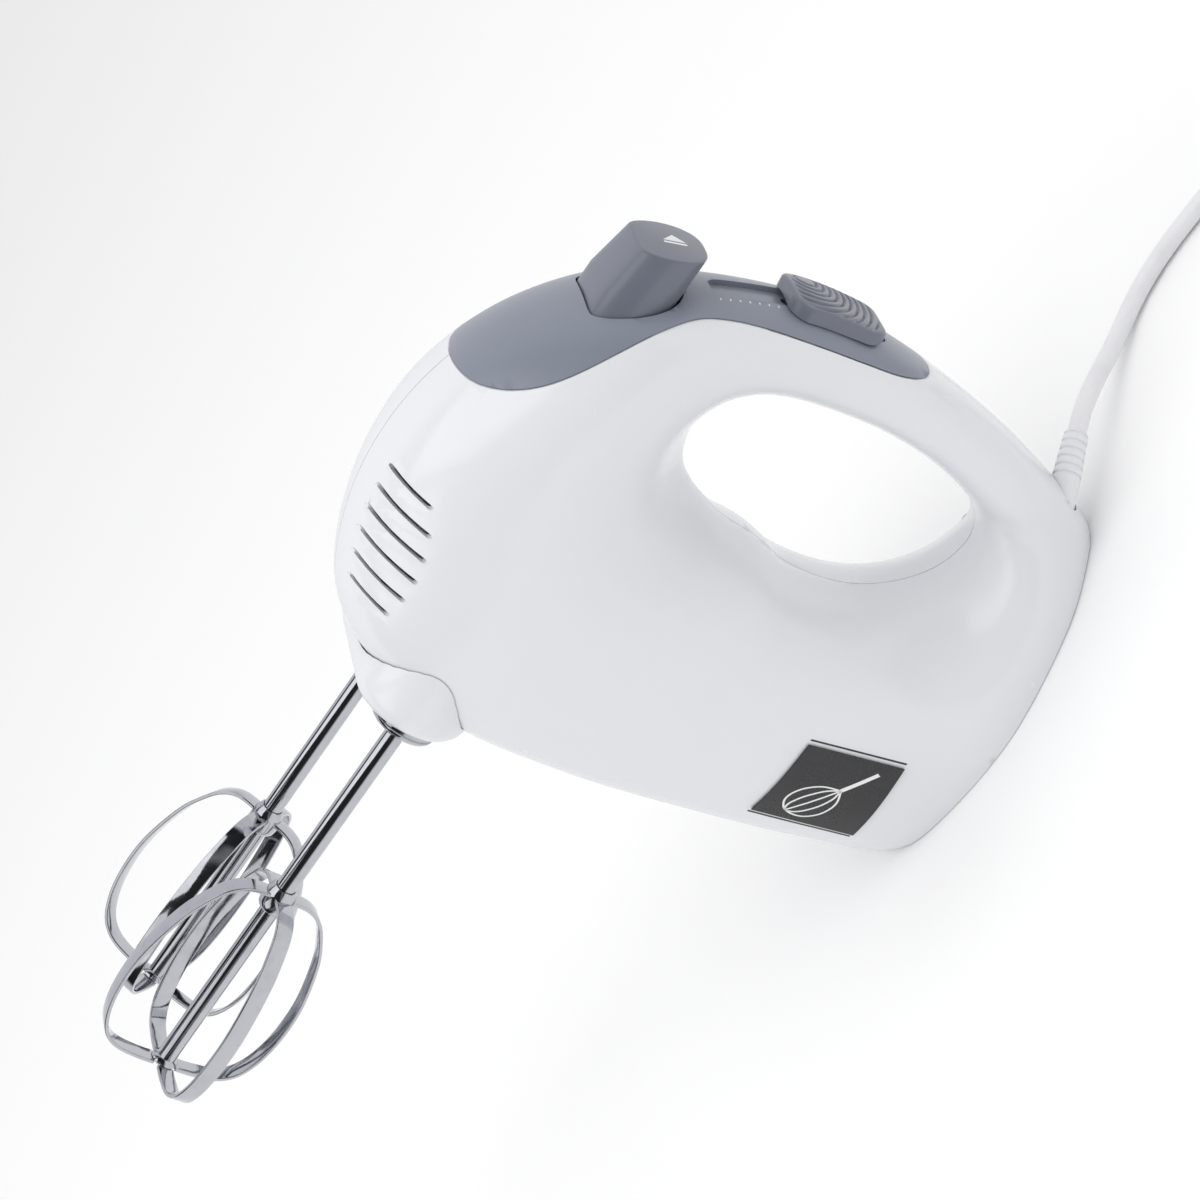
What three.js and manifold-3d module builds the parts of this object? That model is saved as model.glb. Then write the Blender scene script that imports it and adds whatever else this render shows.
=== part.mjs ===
// Hand mixer standing on its heel: nose up (+Z), handle on the +X side, beaters level towards -X,
// left side towards -Y. Millimetres; the origin is the middle of the flat heel face.
import * as THREE from "three";
import Module from "manifold-3d";
import { mergeVertices } from "three/addons/utils/BufferGeometryUtils.js";

const wasm = await Module();
wasm.setup();

// Driving dimensions
const GAP = 0.3; // between pieces that touch
const WALL = 2.4; // housing wall
const AXIS_Z = 146; // beaters above the heel
const SPINDLE_Y = 20; // each beater from the middle plane
const SHAFT_R = 2.9; // beater shaft
const SPINDLE_R = 4.6; // hollow spindle
const MOTOR_X = -40; // motor axis
const MOTOR_SHAFT_R = 2.5;
const WORM_R = 6.2;
const WHEEL_R = 13.4;
const WHEEL_TEETH = 27;
const WHEEL_X = [-44, -36];
const CORE_Z = [62, 92]; // motor laminations
const CORE_HALF = 23;
const COLLAR_X = -83.5; // lowest face of the nose collar
const BEATER_HUB_X = -151;
const BEATER_END_X = -214;
const STRIP_WIDTH = 5.2;
const STRIP_THICK = 1.1;
const SHAFT_TOP_X = -30;
const CORD_R = 2.75;
const SIDES = [-1, 1]; // left, right
const COLLAR_Z = 147; // middle of the nose collar
const YOKE_X = 34; // underside of the bridge that the eject button pushes
const SPRING_Z = 151;
const SPRING_SEAT_X = 20;
const BUTTON_TOP_X = 63.4; // middle of the button's sloping top
const BUTTON_LEAN = 0.32;
const PAD_TOP = 4.2; // most that the speed pad stands above the cover
const PAD_RISE = 0.07; // slope of the pad's top, higher towards the nose
const PAD_CLEAR = 0.5; // underside of the pad above the cover
const PAD_TRAVEL = 16;
const UP_Y = new THREE.Vector3(0, 1, 0);
const WING_STEPS = 22;
const LEFT_TURN = 0.084 + Math.PI;
const RIGHT_TURN = -0.66;
const SCREWS = [[30, 18], [-9, 173]]; // housing screws, x and z
const SCREW_SEAT_Y = 19;
const CORD_EXIT = [57, -0.4, 13];
const CORD_TURN = 0.8; // the cord leaves turned towards +Y
const PIN_X = [-4.8, 4.8];
const BOLTS = [[MOTOR_X - 17, 18], [MOTOR_X + 17, -18]]; // motor bolts, x and y
const SLIDE_AT = [69, 0, 104.5]; // middle of the speed pad on the handle
const SLIDE_LEAN = -0.14; // the handle's lean at the pad, radians about Y
const PAD_SIZE = [11.5, 14.5, 6]; // half width, half length and corner radius
const RECESS_DEPTH = 1.5; // groove in the cover that the pad's stem runs in
const BUTTON_FOOT_X = 38; // underside of the eject button
const BUTTON_TAPER = [46, 80]; // the button narrows between these heights
const BUTTON_NARROWED = [0.633, 0.762, -3.2]; // at the second height: y scale, z scale, z shift
const BUTTON_Z = 155.3;
const BUTTON_BACK = 10.6;
const VENTS = 6; // slits on each side of the nose
const VENT_PITCH = 6.6;
const VENT_WIDTH = 1.8;
const WING_INNER_R = 5; // the wings start here, round the hub
const COIL_AT = [182, 18];
const COIL_R = [20.5, 38]; // inside and outside of the coil's turns
const COIL_HEIGHT = 11.4;
const PLUG_AT = [223.5, -3];

// The body is a ring round the handle hole. Each station crosses it from the outer outline to the hole:
// outer x, outer z, hole x, hole z, half width, then the share of that width at 30, 60, 90, 120 and 150
// degrees round the section.
const STATIONS = [
  [70, 85, 48, 80, 16.5, 0.62, 0.92, 1, 0.96, 0.64],
  [68, 110.9, 43.5, 105, 18, 0.6, 0.9, 1, 0.95, 0.6],
  [57.7, 139, 37, 116, 24, 0.58, 0.89, 1, 0.86, 0.46],
  [43.6, 162.7, 29, 120, 31, 0.54, 0.88, 1, 0.82, 0.38],
  [19.3, 182.6, 21, 119, 36, 0.49, 0.88, 1, 0.8, 0.34],
  [-10, 190.9, 13.5, 115, 38, 0.56, 0.88, 1, 0.8, 0.32],
  [-42, 188, 9, 109, 39, 0.56, 0.88, 1, 0.82, 0.34],
  [-70, 173, 6, 102, 39.5, 0.62, 0.9, 1, 0.85, 0.4],
  [-81, 142, 4, 94, 39.5, 0.7, 0.93, 1, 0.89, 0.52],
  [-79.5, 104, 3, 82, 39.3, 0.74, 0.95, 1, 0.92, 0.6],
  [-73.5, 66, 0.3, 68.9, 39, 0.74, 0.95, 1, 0.93, 0.6],
  [-65, 26, 2.4, 52.8, 38.6, 0.74, 0.95, 1, 0.93, 0.56],
  [-54.4, -5.3, 8.8, 40.3, 38.3, 0.7, 0.95, 1, 0.92, 0.53],
  [-15.2, -19.5, 19.5, 30.7, 37.6, 0.66, 0.94, 1, 0.85, 0.45],
  [29.7, -10.7, 31.8, 27.9, 27.3, 0.62, 0.93, 1, 0.85, 0.46],
  [50.5, -2.1, 39.5, 32.4, 17, 0.46, 0.84, 1, 0.93, 0.6],
  [60.5, 24, 44, 41, 17.7, 0.62, 0.91, 1, 0.95, 0.62],
  [67, 54, 47.7, 58.2, 16.5, 0.62, 0.92, 1, 0.96, 0.62],
];
const STATION_STEPS = 3;
const SECTION_STEPS = 10;

// Lower edge of the grey cover seen from the side, closed well outside the body.
const COVER_EDGE = [
  [6, 200], [7.5, 188], [12, 180], [21, 171], [37.5, 158.5], [46, 151], [53, 142], [57.5, 132],
  [60.5, 121], [62.8, 107], [64.5, 94], [66.5, 80], [70.5, 68], [80, 60], [95, 60], [95, 200],
];

// Half of the button's outline about BUTTON_Z in the Y-Z plane, from its flat front round its side.
const BUTTON_OUTLINE = [
  [9.3, 10.3], [13.2, 9.2], [15.9, 5.7], [17, 1.1], [16, -3.9], [12.7, -7.8], [7.2, -10.1],
];

// A beater wing is a bowed flat strip: places along the beater from its hub, and radius.
const WING = [
  [2.5, 0], [2.3, 9], [-0.5, 14.5], [-6, 18.6], [-15, 22.8], [-31, 26.4], [-46, 26.2], [-56.5, 23],
  [-61.5, 17.5], [-63, 9], [-63, 0],
];

// The cord leaves the handle's heel end, drops to the surface and runs to its coil.
const CORD_ROUTE = [
  [51.1, -6.5, 13], [57, -0.4, 13], [61.9, 4.6, 13], [66.8, 9.6, 13], [71, 13.9, 13], [75.6, 19.4, 12.3],
  [80.2, 25.6, 10.4], [84.8, 32, 7.9], [89.6, 38.2, 5.4], [95.2, 43.9, 3.7], [102.3, 48.6, 3],
  [110.8, 51.6, 2.85], [120, 53, 2.85], [130, 53.2, 2.85], [140, 52.7, 2.85], [147.5, 52, 2.85],
  [155, 51.2, 2.85],
];

const mixer = new THREE.Group();

function finish(color, roughness, metalness) {
  return { color, roughness, metalness };
}
const WHITE = finish(0xf2f3f5, 0.2, 0);
const GREY = finish(0x7f8791, 0.35, 0);
const DARK = finish(0x26272a, 0.5, 0);
const CHROME = finish(0xd6d8da, 0.12, 1);
const STEEL = finish(0xa5a8ab, 0.4, 1);
const COPPER = finish(0xb5703a, 0.35, 1);
const NYLON = finish(0xe3ddcb, 0.5, 0);
const CORD_WHITE = finish(0xeceded, 0.5, 0);

function add(name, geometry, look) {
  const mesh = new THREE.Mesh(shell(solid(geometry)), new THREE.MeshStandardMaterial(look));
  mesh.name = name;
  mixer.add(mesh);
}

// Solids
function signedVolume(geometry) {
  const p = geometry.attributes.position;
  const index = geometry.index;
  const [a, b, c] = [new THREE.Vector3(), new THREE.Vector3(), new THREE.Vector3()];
  let total = 0;
  for (let i = 0; i < index.count; i += 3) {
    a.fromBufferAttribute(p, index.getX(i));
    b.fromBufferAttribute(p, index.getX(i + 1));
    c.fromBufferAttribute(p, index.getX(i + 2));
    total += a.dot(b.cross(c));
  }
  return total;
}

function solid(geometry) {
  const bare = geometry.clone();
  bare.deleteAttribute("normal");
  bare.deleteAttribute("uv");
  const merged = mergeVertices(bare, 1e-4);
  const corners = Uint32Array.from(merged.index.array);
  if (signedVolume(merged) < 0) corners.reverse();
  const vertProperties = Float32Array.from(merged.attributes.position.array);
  return new wasm.Manifold(new wasm.Mesh({ numProp: 3, vertProperties, triVerts: corners }));
}

function shell(manifold) {
  const mesh = manifold.getMesh();
  const geometry = new THREE.BufferGeometry();
  geometry.setAttribute("position", new THREE.BufferAttribute(mesh.vertProperties, 3));
  geometry.setIndex(new THREE.BufferAttribute(mesh.triVerts, 1));
  return geometry;
}

function cut(base, ...tools) {
  return shell(tools.reduce((left, tool) => left.subtract(solid(tool)), solid(base)));
}

function join(base, ...others) {
  return shell(others.reduce((sum, other) => sum.add(solid(other)), solid(base)));
}

// Simple shapes
function box(x0, x1, y0, y1, z0, z1) {
  return new THREE.BoxGeometry(x1 - x0, y1 - y0, z1 - z0)
    .translate((x0 + x1) / 2, (y0 + y1) / 2, (z0 + z1) / 2);
}

function turned(profile, sides) {
  return new THREE.LatheGeometry(profile.map(([r, h]) => new THREE.Vector2(r, h)), sides);
}

// A rod or tube from start to end along one axis; inner is 0 for a rod.
function tube(axis, outer, inner, start, end, at, sides = 20) {
  const rod = [[0, start], [outer, start], [outer, end], [0, end]];
  const pipe = [[inner, start], [outer, start], [outer, end], [inner, end], [inner, start]];
  return along(axis, turned(inner ? pipe : rod, sides), at);
}

// Turns a shape made about +Y so that it points along +X, +Y or +Z and moves its middle line.
function along(axis, geometry, at) {
  const [p, q] = at;
  if (axis === "x") return geometry.rotateZ(-Math.PI / 2).translate(0, p, q);
  if (axis === "z") return geometry.rotateX(Math.PI / 2).translate(p, q, 0);
  return geometry.translate(p, 0, q);
}

function outline(points) {
  return new THREE.Shape(points.map(([x, y]) => new THREE.Vector2(x, y)));
}

// Stands a flat outline in the X-Z plane and gives it thickness from y0 to y1.
function slabY(shape, y0, y1, options = {}) {
  const depth = y1 - y0;
  const plate = new THREE.ExtrudeGeometry(shape, { depth, bevelEnabled: false, ...options });
  return plate.rotateX(Math.PI / 2).translate(0, y1, 0);
}

// Stands a flat outline in the Y-Z plane and gives it thickness from x0 to x1.
function slabX(shape, x0, x1, options = {}) {
  const depth = x1 - x0;
  const plate = new THREE.ExtrudeGeometry(shape, { depth, bevelEnabled: false, ...options });
  return plate.rotateY(Math.PI / 2).rotateX(Math.PI / 2).translate(x0, 0, 0);
}

// Gives an outline in the X-Y plane a height from z0 to z1.
function slabZ(shape, z0, z1, options = {}) {
  const depth = z1 - z0;
  return new THREE.ExtrudeGeometry(shape, { depth, bevelEnabled: false, ...options })
    .translate(0, 0, z0);
}

function stadium(halfLength, radius, centre) {
  const shape = new THREE.Shape();
  shape.absarc(halfLength - radius, centre, radius, -Math.PI / 2, Math.PI / 2);
  shape.absarc(radius - halfLength, centre, radius, Math.PI / 2, Math.PI * 1.5);
  return shape;
}

// Body surface
function smooth(a, b, c, d, t) {
  return b + 0.5 * t * (c - a + t * (2 * a - 5 * b + 4 * c - d + t * (3 * (b - c) + d - a)));
}

function stationAt(u) {
  const count = STATIONS.length;
  const first = Math.floor(u);
  const near = [-1, 0, 1, 2].map((step) => STATIONS[(first + step + count) % count]);
  return near[1].map((value, i) => smooth(near[0][i], value, near[2][i], near[3][i], u - first));
}

function shareAt(shares, angle) {
  const knots = [-shares[0], 0, ...shares, 0, -shares[4]];
  const place = angle / (Math.PI / 6);
  const first = Math.min(Math.max(Math.floor(place), 0), 5);
  return smooth(...knots.slice(first, first + 4), place - first);
}

function sectionPoints(u, inset) {
  const [outerX, outerZ, holeX, holeZ, width, ...shares] = stationAt(u);
  const length = Math.hypot(holeX - outerX, holeZ - outerZ);
  const distance = (angle) => (length * (1 - Math.cos(angle))) / 2;
  const half = (angle) => width * shareAt(shares, angle);
  const points = [];
  for (let i = 0; i <= SECTION_STEPS; i++) {
    const angle = (Math.PI * i) / SECTION_STEPS;
    const run = distance(angle + 0.01) - distance(angle - 0.01);
    const rise = half(Math.min(angle + 0.01, Math.PI)) - half(Math.max(angle - 0.01, 0));
    const size = Math.hypot(run, rise);
    const share = (distance(angle) + (inset * rise) / size) / length;
    const across = i % SECTION_STEPS ? half(angle) - (inset * run) / size : 0;
    points.push([outerX + (holeX - outerX) * share, across, outerZ + (holeZ - outerZ) * share]);
  }
  return points;
}

function bodySolid(inset, floor) {
  const positions = [];
  const indices = [];
  const rows = STATIONS.length * STATION_STEPS;
  const ring = 2 * SECTION_STEPS;
  for (let row = 0; row < rows; row++) {
    const left = sectionPoints(row / STATION_STEPS, inset);
    const right = left.slice(1, -1).reverse();
    for (const [x, y, z] of left) positions.push(x, -y, z);
    for (const [x, y, z] of right) positions.push(x, y, z);
    for (let i = 0; i < ring; i++) {
      const next = ((row + 1) % rows) * ring;
      const [a, b] = [row * ring + i, row * ring + ((i + 1) % ring)];
      const [c, d] = [next + i, next + ((i + 1) % ring)];
      indices.push(a, b, d, a, d, c);
    }
  }
  const geometry = new THREE.BufferGeometry();
  geometry.setAttribute("position", new THREE.Float32BufferAttribute(positions, 3));
  geometry.setIndex(indices);
  return solid(geometry).intersect(solid(box(-150, 150, -90, 90, floor, 250)));
}

const bodyOuter = bodySolid(0, 0);
const bodyInner = bodySolid(WALL, WALL);

function buttonShape(grow) {
  const half = BUTTON_OUTLINE.map(([y, z]) => {
    const size = Math.hypot(y, z);
    return [(y * (size + grow)) / size, BUTTON_Z + (z * (size + grow)) / size];
  });
  const back = [0, BUTTON_Z - BUTTON_BACK - grow];
  const other = half.map(([y, z]) => [-y, z]).reverse();
  const shape = new THREE.Shape();
  shape.moveTo(...half[0]);
  const rest = [...half.slice(1), back, ...other];
  shape.splineThru(rest.map(([y, z]) => new THREE.Vector2(y, z)));
  return shape;
}

// Vents: thin slits on both sides of the nose, side by side towards the beaters.
function ventSlits() {
  const slits = [];
  for (let i = 0; i < VENTS; i++) {
    const x = -21.8 - VENT_PITCH * i;
    const bottom = 170 + 0.5 * (VENTS - 2 - i) ** 2;
    const top = 189 - 0.32 * i * i;
    for (const side of SIDES) {
      const [near, far] = side < 0 ? [-60, -14] : [14, 60];
      slits.push(box(x - VENT_WIDTH / 2, x + VENT_WIDTH / 2, near, far, bottom, top));
    }
  }
  return slits;
}

function housing() {
  const coverRoom = slabY(outline(COVER_EDGE), -60, 60);
  const collarRoom = slabX(stadium(31.3, 11.3, AXIS_Z), -100, -50);
  const cordRoom = tube("x", 4.6, 0, -12, 20, [0, 0]).rotateZ(CORD_TURN).translate(...CORD_EXIT);
  const plateRoom = box(-20.3, 20.3, -11.3, 11.3, -1, 1.2);
  const posts = SCREWS.map(([x, z]) => solid(tube("y", 5.5, 0, -60, 60, [x, z], 16)));
  const pilots = SCREWS.map(([x, z]) => tube("y", 1.8, 0, -13, 60, [x, z], 12));
  const sinks = SCREWS.map(([x, z]) => tube("y", 3.8, 0, SCREW_SEAT_Y, 60, [x, z], 16));
  const rooms = [coverRoom, collarRoom, cordRoom, plateRoom, ...pilots, ...sinks, ...ventSlits()];
  const skin = bodyOuter.subtract(bodyInner);
  const walls = posts.reduce((sum, post) => sum.add(post.intersect(bodyOuter)), skin);
  const open = rooms.reduce((left, room) => left.subtract(solid(room)), walls);
  const leftSide = solid(box(-150, 150, -90, -GAP / 2, -10, 250));
  const rightSide = solid(box(-150, 150, GAP / 2, 90, -10, 250));
  add("housing_left", shell(open.intersect(leftSide)), WHITE);
  add("housing_right", shell(open.intersect(rightSide)), WHITE);
}

function topCover() {
  const edge = COVER_EDGE.map(([x, z]) => [x + 0.35, z + 0.15]);
  const region = slabY(outline(edge), -60, 60);
  const buttonHole = slabX(buttonShape(0.6), 20, 90, { curveSegments: 3 });
  const track = solid(atPad(box(-9, 9, -5.5, 5.5, -17, 34)));
  const recess = track.subtract(bodySolid(RECESS_DEPTH, 0));
  const slot = solid(atPad(box(-9, 3, -2, 2, -14.2, 14.2)));
  const panel = solid(region).intersect(bodyOuter).subtract(bodyInner);
  const opened = panel.subtract(recess).subtract(slot).subtract(solid(buttonHole));
  add("top_cover", shell(opened), GREY);
}

function noseCollar() {
  const skirt = slabX(stadium(34 - 5, 17.5 - 5, COLLAR_Z), COLLAR_X + 5, -62, {
    bevelEnabled: true, bevelThickness: 5, bevelSize: 5, bevelSegments: 3, curveSegments: 8,
  });
  const spigot = slabX(stadium(31, 11, AXIS_Z), -80, -58);
  let collar = solid(skirt).subtract(bodySolid(-GAP, -20)).add(solid(spigot));
  for (const y of SIDES.map((side) => side * SPINDLE_Y)) {
    collar = collar.subtract(solid(tube("x", SPINDLE_R + GAP, 0, -100, -50, [y, AXIS_Z])));
    collar = collar.subtract(solid(tube("x", 9.9, 0, -100, COLLAR_X + 3, [y, AXIS_Z])));
  }
  add("nose_collar", shell(collar), WHITE);
}

function labelPlate() {
  const corners = [[-30, 51.5], [-24, 22], [-50, 20], [-56, 52]];
  const region = solid(slabY(outline(corners), -60, -20));
  const skin = bodySolid(-0.8, 0).subtract(bodySolid(-GAP, 0));
  add("label_plate", shell(skin.intersect(region)), DARK);
}

function ejectButton() {
  const [low, high] = BUTTON_TAPER;
  const [narrowY, narrowZ, shiftZ] = BUTTON_NARROWED;
  const foot = slabX(buttonShape(0), BUTTON_FOOT_X, low, { curveSegments: 3 });
  const cap = slabX(buttonShape(0), low, high, { curveSegments: 3 });
  const p = cap.attributes.position;
  for (let i = 0; i < p.count; i++) {
    if (p.getX(i) > low + 1) {
      p.setXYZ(i, high, p.getY(i) * narrowY, BUTTON_Z + (p.getZ(i) - BUTTON_Z) * narrowZ + shiftZ);
    }
  }
  const above = box(0, 40, -30, 30, -40, 40).rotateY(-BUTTON_LEAN);
  add("eject_button", cut(join(foot, cap), above.translate(BUTTON_TOP_X, 0, 154.5)), GREY);
}

function ejectYoke() {
  const bridge = box(YOKE_X, YOKE_X + 3.5, -22.5, 22.5, 142, 155.5);
  const rods = SIDES.map((side) => {
    return tube("x", 2.5, 0, SHAFT_TOP_X + GAP, YOKE_X + 1, [side * SPINDLE_Y, AXIS_Z], 12);
  });
  const seat = tube("x", 3.4, 0, YOKE_X - 4, YOKE_X + 1, [0, SPRING_Z], 14);
  add("eject_yoke", join(bridge, ...rods, seat), NYLON);
}

class Coil extends THREE.Curve {
  constructor(radius, turns, start, end) {
    super();
    Object.assign(this, { radius, turns, start, end });
  }
  getPoint(t, target = new THREE.Vector3()) {
    const angle = 2 * Math.PI * this.turns * t;
    const x = this.start + (this.end - this.start) * t;
    return target.set(x, this.radius * Math.cos(angle), this.radius * Math.sin(angle));
  }
}

function circle(radius, sides) {
  return Array.from({ length: sides }, (_, i) => {
    const angle = (2 * Math.PI * i) / sides;
    return new THREE.Vector2(radius * Math.cos(angle), radius * Math.sin(angle));
  });
}

function ejectSpring() {
  const turns = 4;
  const path = new Coil(4.6, turns, SPRING_SEAT_X + 1, YOKE_X - 1);
  const wire = new THREE.ExtrudeGeometry(new THREE.Shape(circle(0.6, 6)), {
    extrudePath: path, steps: turns * 12, bevelEnabled: false,
  });
  add("eject_spring", wire.translate(0, 0, SPRING_Z), STEEL);
}

// Places a shape drawn at the speed pad's own middle: its x stands off the handle, its z is the travel.
function atPad(geometry) {
  return geometry.rotateY(SLIDE_LEAN).translate(...SLIDE_AT);
}

// The pad rides just clear of the cover over the whole of its travel, and its top follows the handle.
function speedSlider() {
  const shape = new THREE.Shape();
  const [side, end, corner] = PAD_SIZE;
  shape.absarc(side - corner, end - corner, corner, 0, Math.PI / 2);
  shape.absarc(corner - side, end - corner, corner, Math.PI / 2, Math.PI);
  shape.absarc(corner - side, corner - end, corner, Math.PI, Math.PI * 1.5);
  shape.absarc(side - corner, corner - end, corner, Math.PI * 1.5, Math.PI * 2);
  const block = solid(atPad(slabX(shape, -8, 8, { curveSegments: 5 })));
  const under = solid(atPad(box(-30, 3.3, -30, 30, -30, 30).rotateY(PAD_RISE)));
  let pad = block.intersect(bodySolid(-PAD_TOP, 0)).intersect(under);
  for (const moved of [0, 0.25, 0.5, 0.75, 1]) {
    const back = new THREE.Vector3(0, 0, -PAD_TRAVEL * moved).applyAxisAngle(UP_Y, SLIDE_LEAN);
    pad = pad.subtract(bodySolid(-PAD_CLEAR, 0).translate(back.toArray()));
  }
  const stem = atPad(box(-8, 1.6, -1.6, 1.6, -13.5, -2.5));
  const carriage = atPad(box(-11.6, -7.5, -5, 5, -15, -1));
  add("speed_slider", join(shell(pad), stem, carriage), GREY);
  add("speed_switch", atPad(box(-17.5, -11.9, -6.5, 6.5, -20, 26)), DARK);
}

function motor() {
  const centre = [MOTOR_X, 0];
  const core = new THREE.Shape();
  core.moveTo(-CORE_HALF, -CORE_HALF);
  core.lineTo(CORE_HALF, -CORE_HALF);
  core.lineTo(CORE_HALF, CORE_HALF);
  core.lineTo(-CORE_HALF, CORE_HALF);
  const bore = new THREE.Path();
  const pole = 0.58;
  for (const side of [0, Math.PI]) {
    const middle = side + Math.PI / 2;
    bore.absarc(0, 0, 16.6, middle - pole, middle + pole);
    bore.absarc(0, 0, 21, middle + pole, middle + Math.PI - pole);
  }
  bore.closePath();
  core.holes.push(bore);
  const laminations = slabZ(core, ...CORE_Z, { curveSegments: 8 }).translate(...centre, 0);
  const boltHoles = BOLTS.map(([x, y]) => tube("z", 1.8, 0, 50, 100, [x, y], 10));
  add("motor_core", cut(laminations, ...boltHoles), STEEL);
  for (const side of SIDES) {
    const middle = side * Math.PI / 2;
    const band = sector(17.1, 20.6, middle - 1.05, middle + 1.05, CORE_Z[0] - 8, CORE_Z[1] + 8);
    const window = sector(15, 23, middle - 0.64, middle + 0.64, CORE_Z[0] - 1, CORE_Z[1] + 1);
    const name = side < 0 ? "field_coil_left" : "field_coil_right";
    add(name, cut(band, window).translate(...centre, 0), COPPER);
  }
  add("motor_shaft", tube("z", MOTOR_SHAFT_R, 0, 26, 168, centre, 16), STEEL);
  add("armature_core", armatureCore(), STEEL);
  const rearWinding = tube("z", 14.5, MOTOR_SHAFT_R + GAP, 51, CORE_Z[0] - GAP, centre, 20);
  const frontWinding = tube("z", 14.5, MOTOR_SHAFT_R + GAP, CORE_Z[1] + GAP, 103, centre, 20);
  add("winding_rear", rearWinding, COPPER);
  add("winding_front", frontWinding, COPPER);
  add("commutator", tube("z", 8, MOTOR_SHAFT_R + GAP, 37, 49, centre, 20), COPPER);
  add("cooling_fan", fan(), NYLON);
  add("worm", worm(), STEEL);
  for (const side of SIDES) {
    const suffix = side < 0 ? "left" : "right";
    const [y0, y1] = side < 0 ? [-19, -8.3] : [8.3, 19];
    add("brush_" + suffix, box(MOTOR_X - 2.5, MOTOR_X + 2.5, y0, y1, 40, 46), DARK);
    const [from, to] = side < 0 ? [-23, -10] : [10, 23];
    const sleeve = box(MOTOR_X - 4.2, MOTOR_X + 4.2, from, to, 38.3, 47.7);
    const room = box(MOTOR_X - 2.8, MOTOR_X + 2.8, y0 - 5, y1 + 5, 39.7, 46.3);
    add("brush_holder_" + suffix, cut(sleeve, room), NYLON);
  }
  for (const [name, z] of [["bracket_rear", 29], ["bracket_front", 122]]) {
    const bar = box(MOTOR_X - 9, MOTOR_X + 9, -26, 26, z, z + 4);
    const hole = tube("z", 5.3, 0, z - 1, z + 5, centre, 16);
    const ears = BOLTS.map(([x, y]) => box(x - 3.2, x + 3.2, y - 3.2, y + 3.2, z, z + 4));
    const holes = BOLTS.map(([x, y]) => tube("z", 1.8, 0, z - 1, z + 5, [x, y], 10));
    const arms = BOLTS.map(([x, y]) => {
      return box(Math.min(x, MOTOR_X), Math.max(x, MOTOR_X), y - 3, y + 3, z, z + 4);
    });
    add(name, cut(join(bar, ...ears, ...arms), hole, ...holes), STEEL);
    const bearing = tube("z", 5, MOTOR_SHAFT_R + GAP, z - 1, z + 5, centre, 16);
    add(name.replace("bracket", "bearing"), bearing, COPPER);
  }
  BOLTS.forEach(([x, y], i) => {
    const head = tube("z", 2.8, 0, 26.7, 28.7, [x, y], 10);
    const stem = tube("z", 1.5, 0, 28, 127, [x, y], 10);
    add("motor_bolt_" + (i + 1), join(stem, head), STEEL);
  });
}

function sector(inner, outer, from, to, z0, z1) {
  const shape = new THREE.Shape();
  shape.absarc(0, 0, outer, from, to, false);
  shape.absarc(0, 0, inner, to, from, true);
  return slabZ(shape, z0, z1, { curveSegments: 8 });
}

function armatureCore() {
  const slots = 12;
  const points = [];
  for (let i = 0; i < slots; i++) {
    for (const [part, r] of [[0.1, 11], [0.16, 16], [0.84, 16], [0.9, 11]]) {
      const angle = (2 * Math.PI * (i + part)) / slots;
      points.push([r * Math.cos(angle), r * Math.sin(angle)]);
    }
  }
  const shape = outline(points);
  shape.holes.push(new THREE.Path(circle(MOTOR_SHAFT_R + GAP, 16)));
  return slabZ(shape, ...CORE_Z).translate(MOTOR_X, 0, 0);
}

function fan() {
  const blades = [];
  for (let i = 0; i < 9; i++) {
    blades.push(box(7, 22, -0.6, 0.6, 107, 115).rotateZ((2 * Math.PI * i) / 9));
  }
  const disc = tube("z", 23, MOTOR_SHAFT_R + GAP, 105.5, 107.5, [0, 0], 24);
  const hub = tube("z", 8, MOTOR_SHAFT_R + GAP, 105.5, 113, [0, 0], 16);
  return join(disc, hub, ...blades).translate(MOTOR_X, 0, 0);
}

// Two-start thread: the radius swings twice round the worm and shifts along it.
function worm() {
  const [z0, z1] = [133, 159];
  const body = new THREE.CylinderGeometry(WORM_R, WORM_R, z1 - z0, 20, 20);
  const p = body.attributes.position;
  for (let i = 0; i < p.count; i++) {
    const [x, y, z] = [p.getX(i), p.getY(i), p.getZ(i)];
    const r = Math.hypot(x, z);
    if (r > 1) {
      const swing = Math.cos(2 * Math.atan2(z, x) + y * Math.PI / 3.1);
      const shrink = (WORM_R - 1 + swing) / WORM_R;
      p.setXYZ(i, x * shrink, y, z * shrink);
    }
  }
  const thread = body.rotateX(Math.PI / 2).translate(MOTOR_X, 0, (z0 + z1) / 2);
  return cut(thread, tube("z", MOTOR_SHAFT_R + GAP, 0, z0 - 5, z1 + 5, [MOTOR_X, 0], 16));
}

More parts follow.
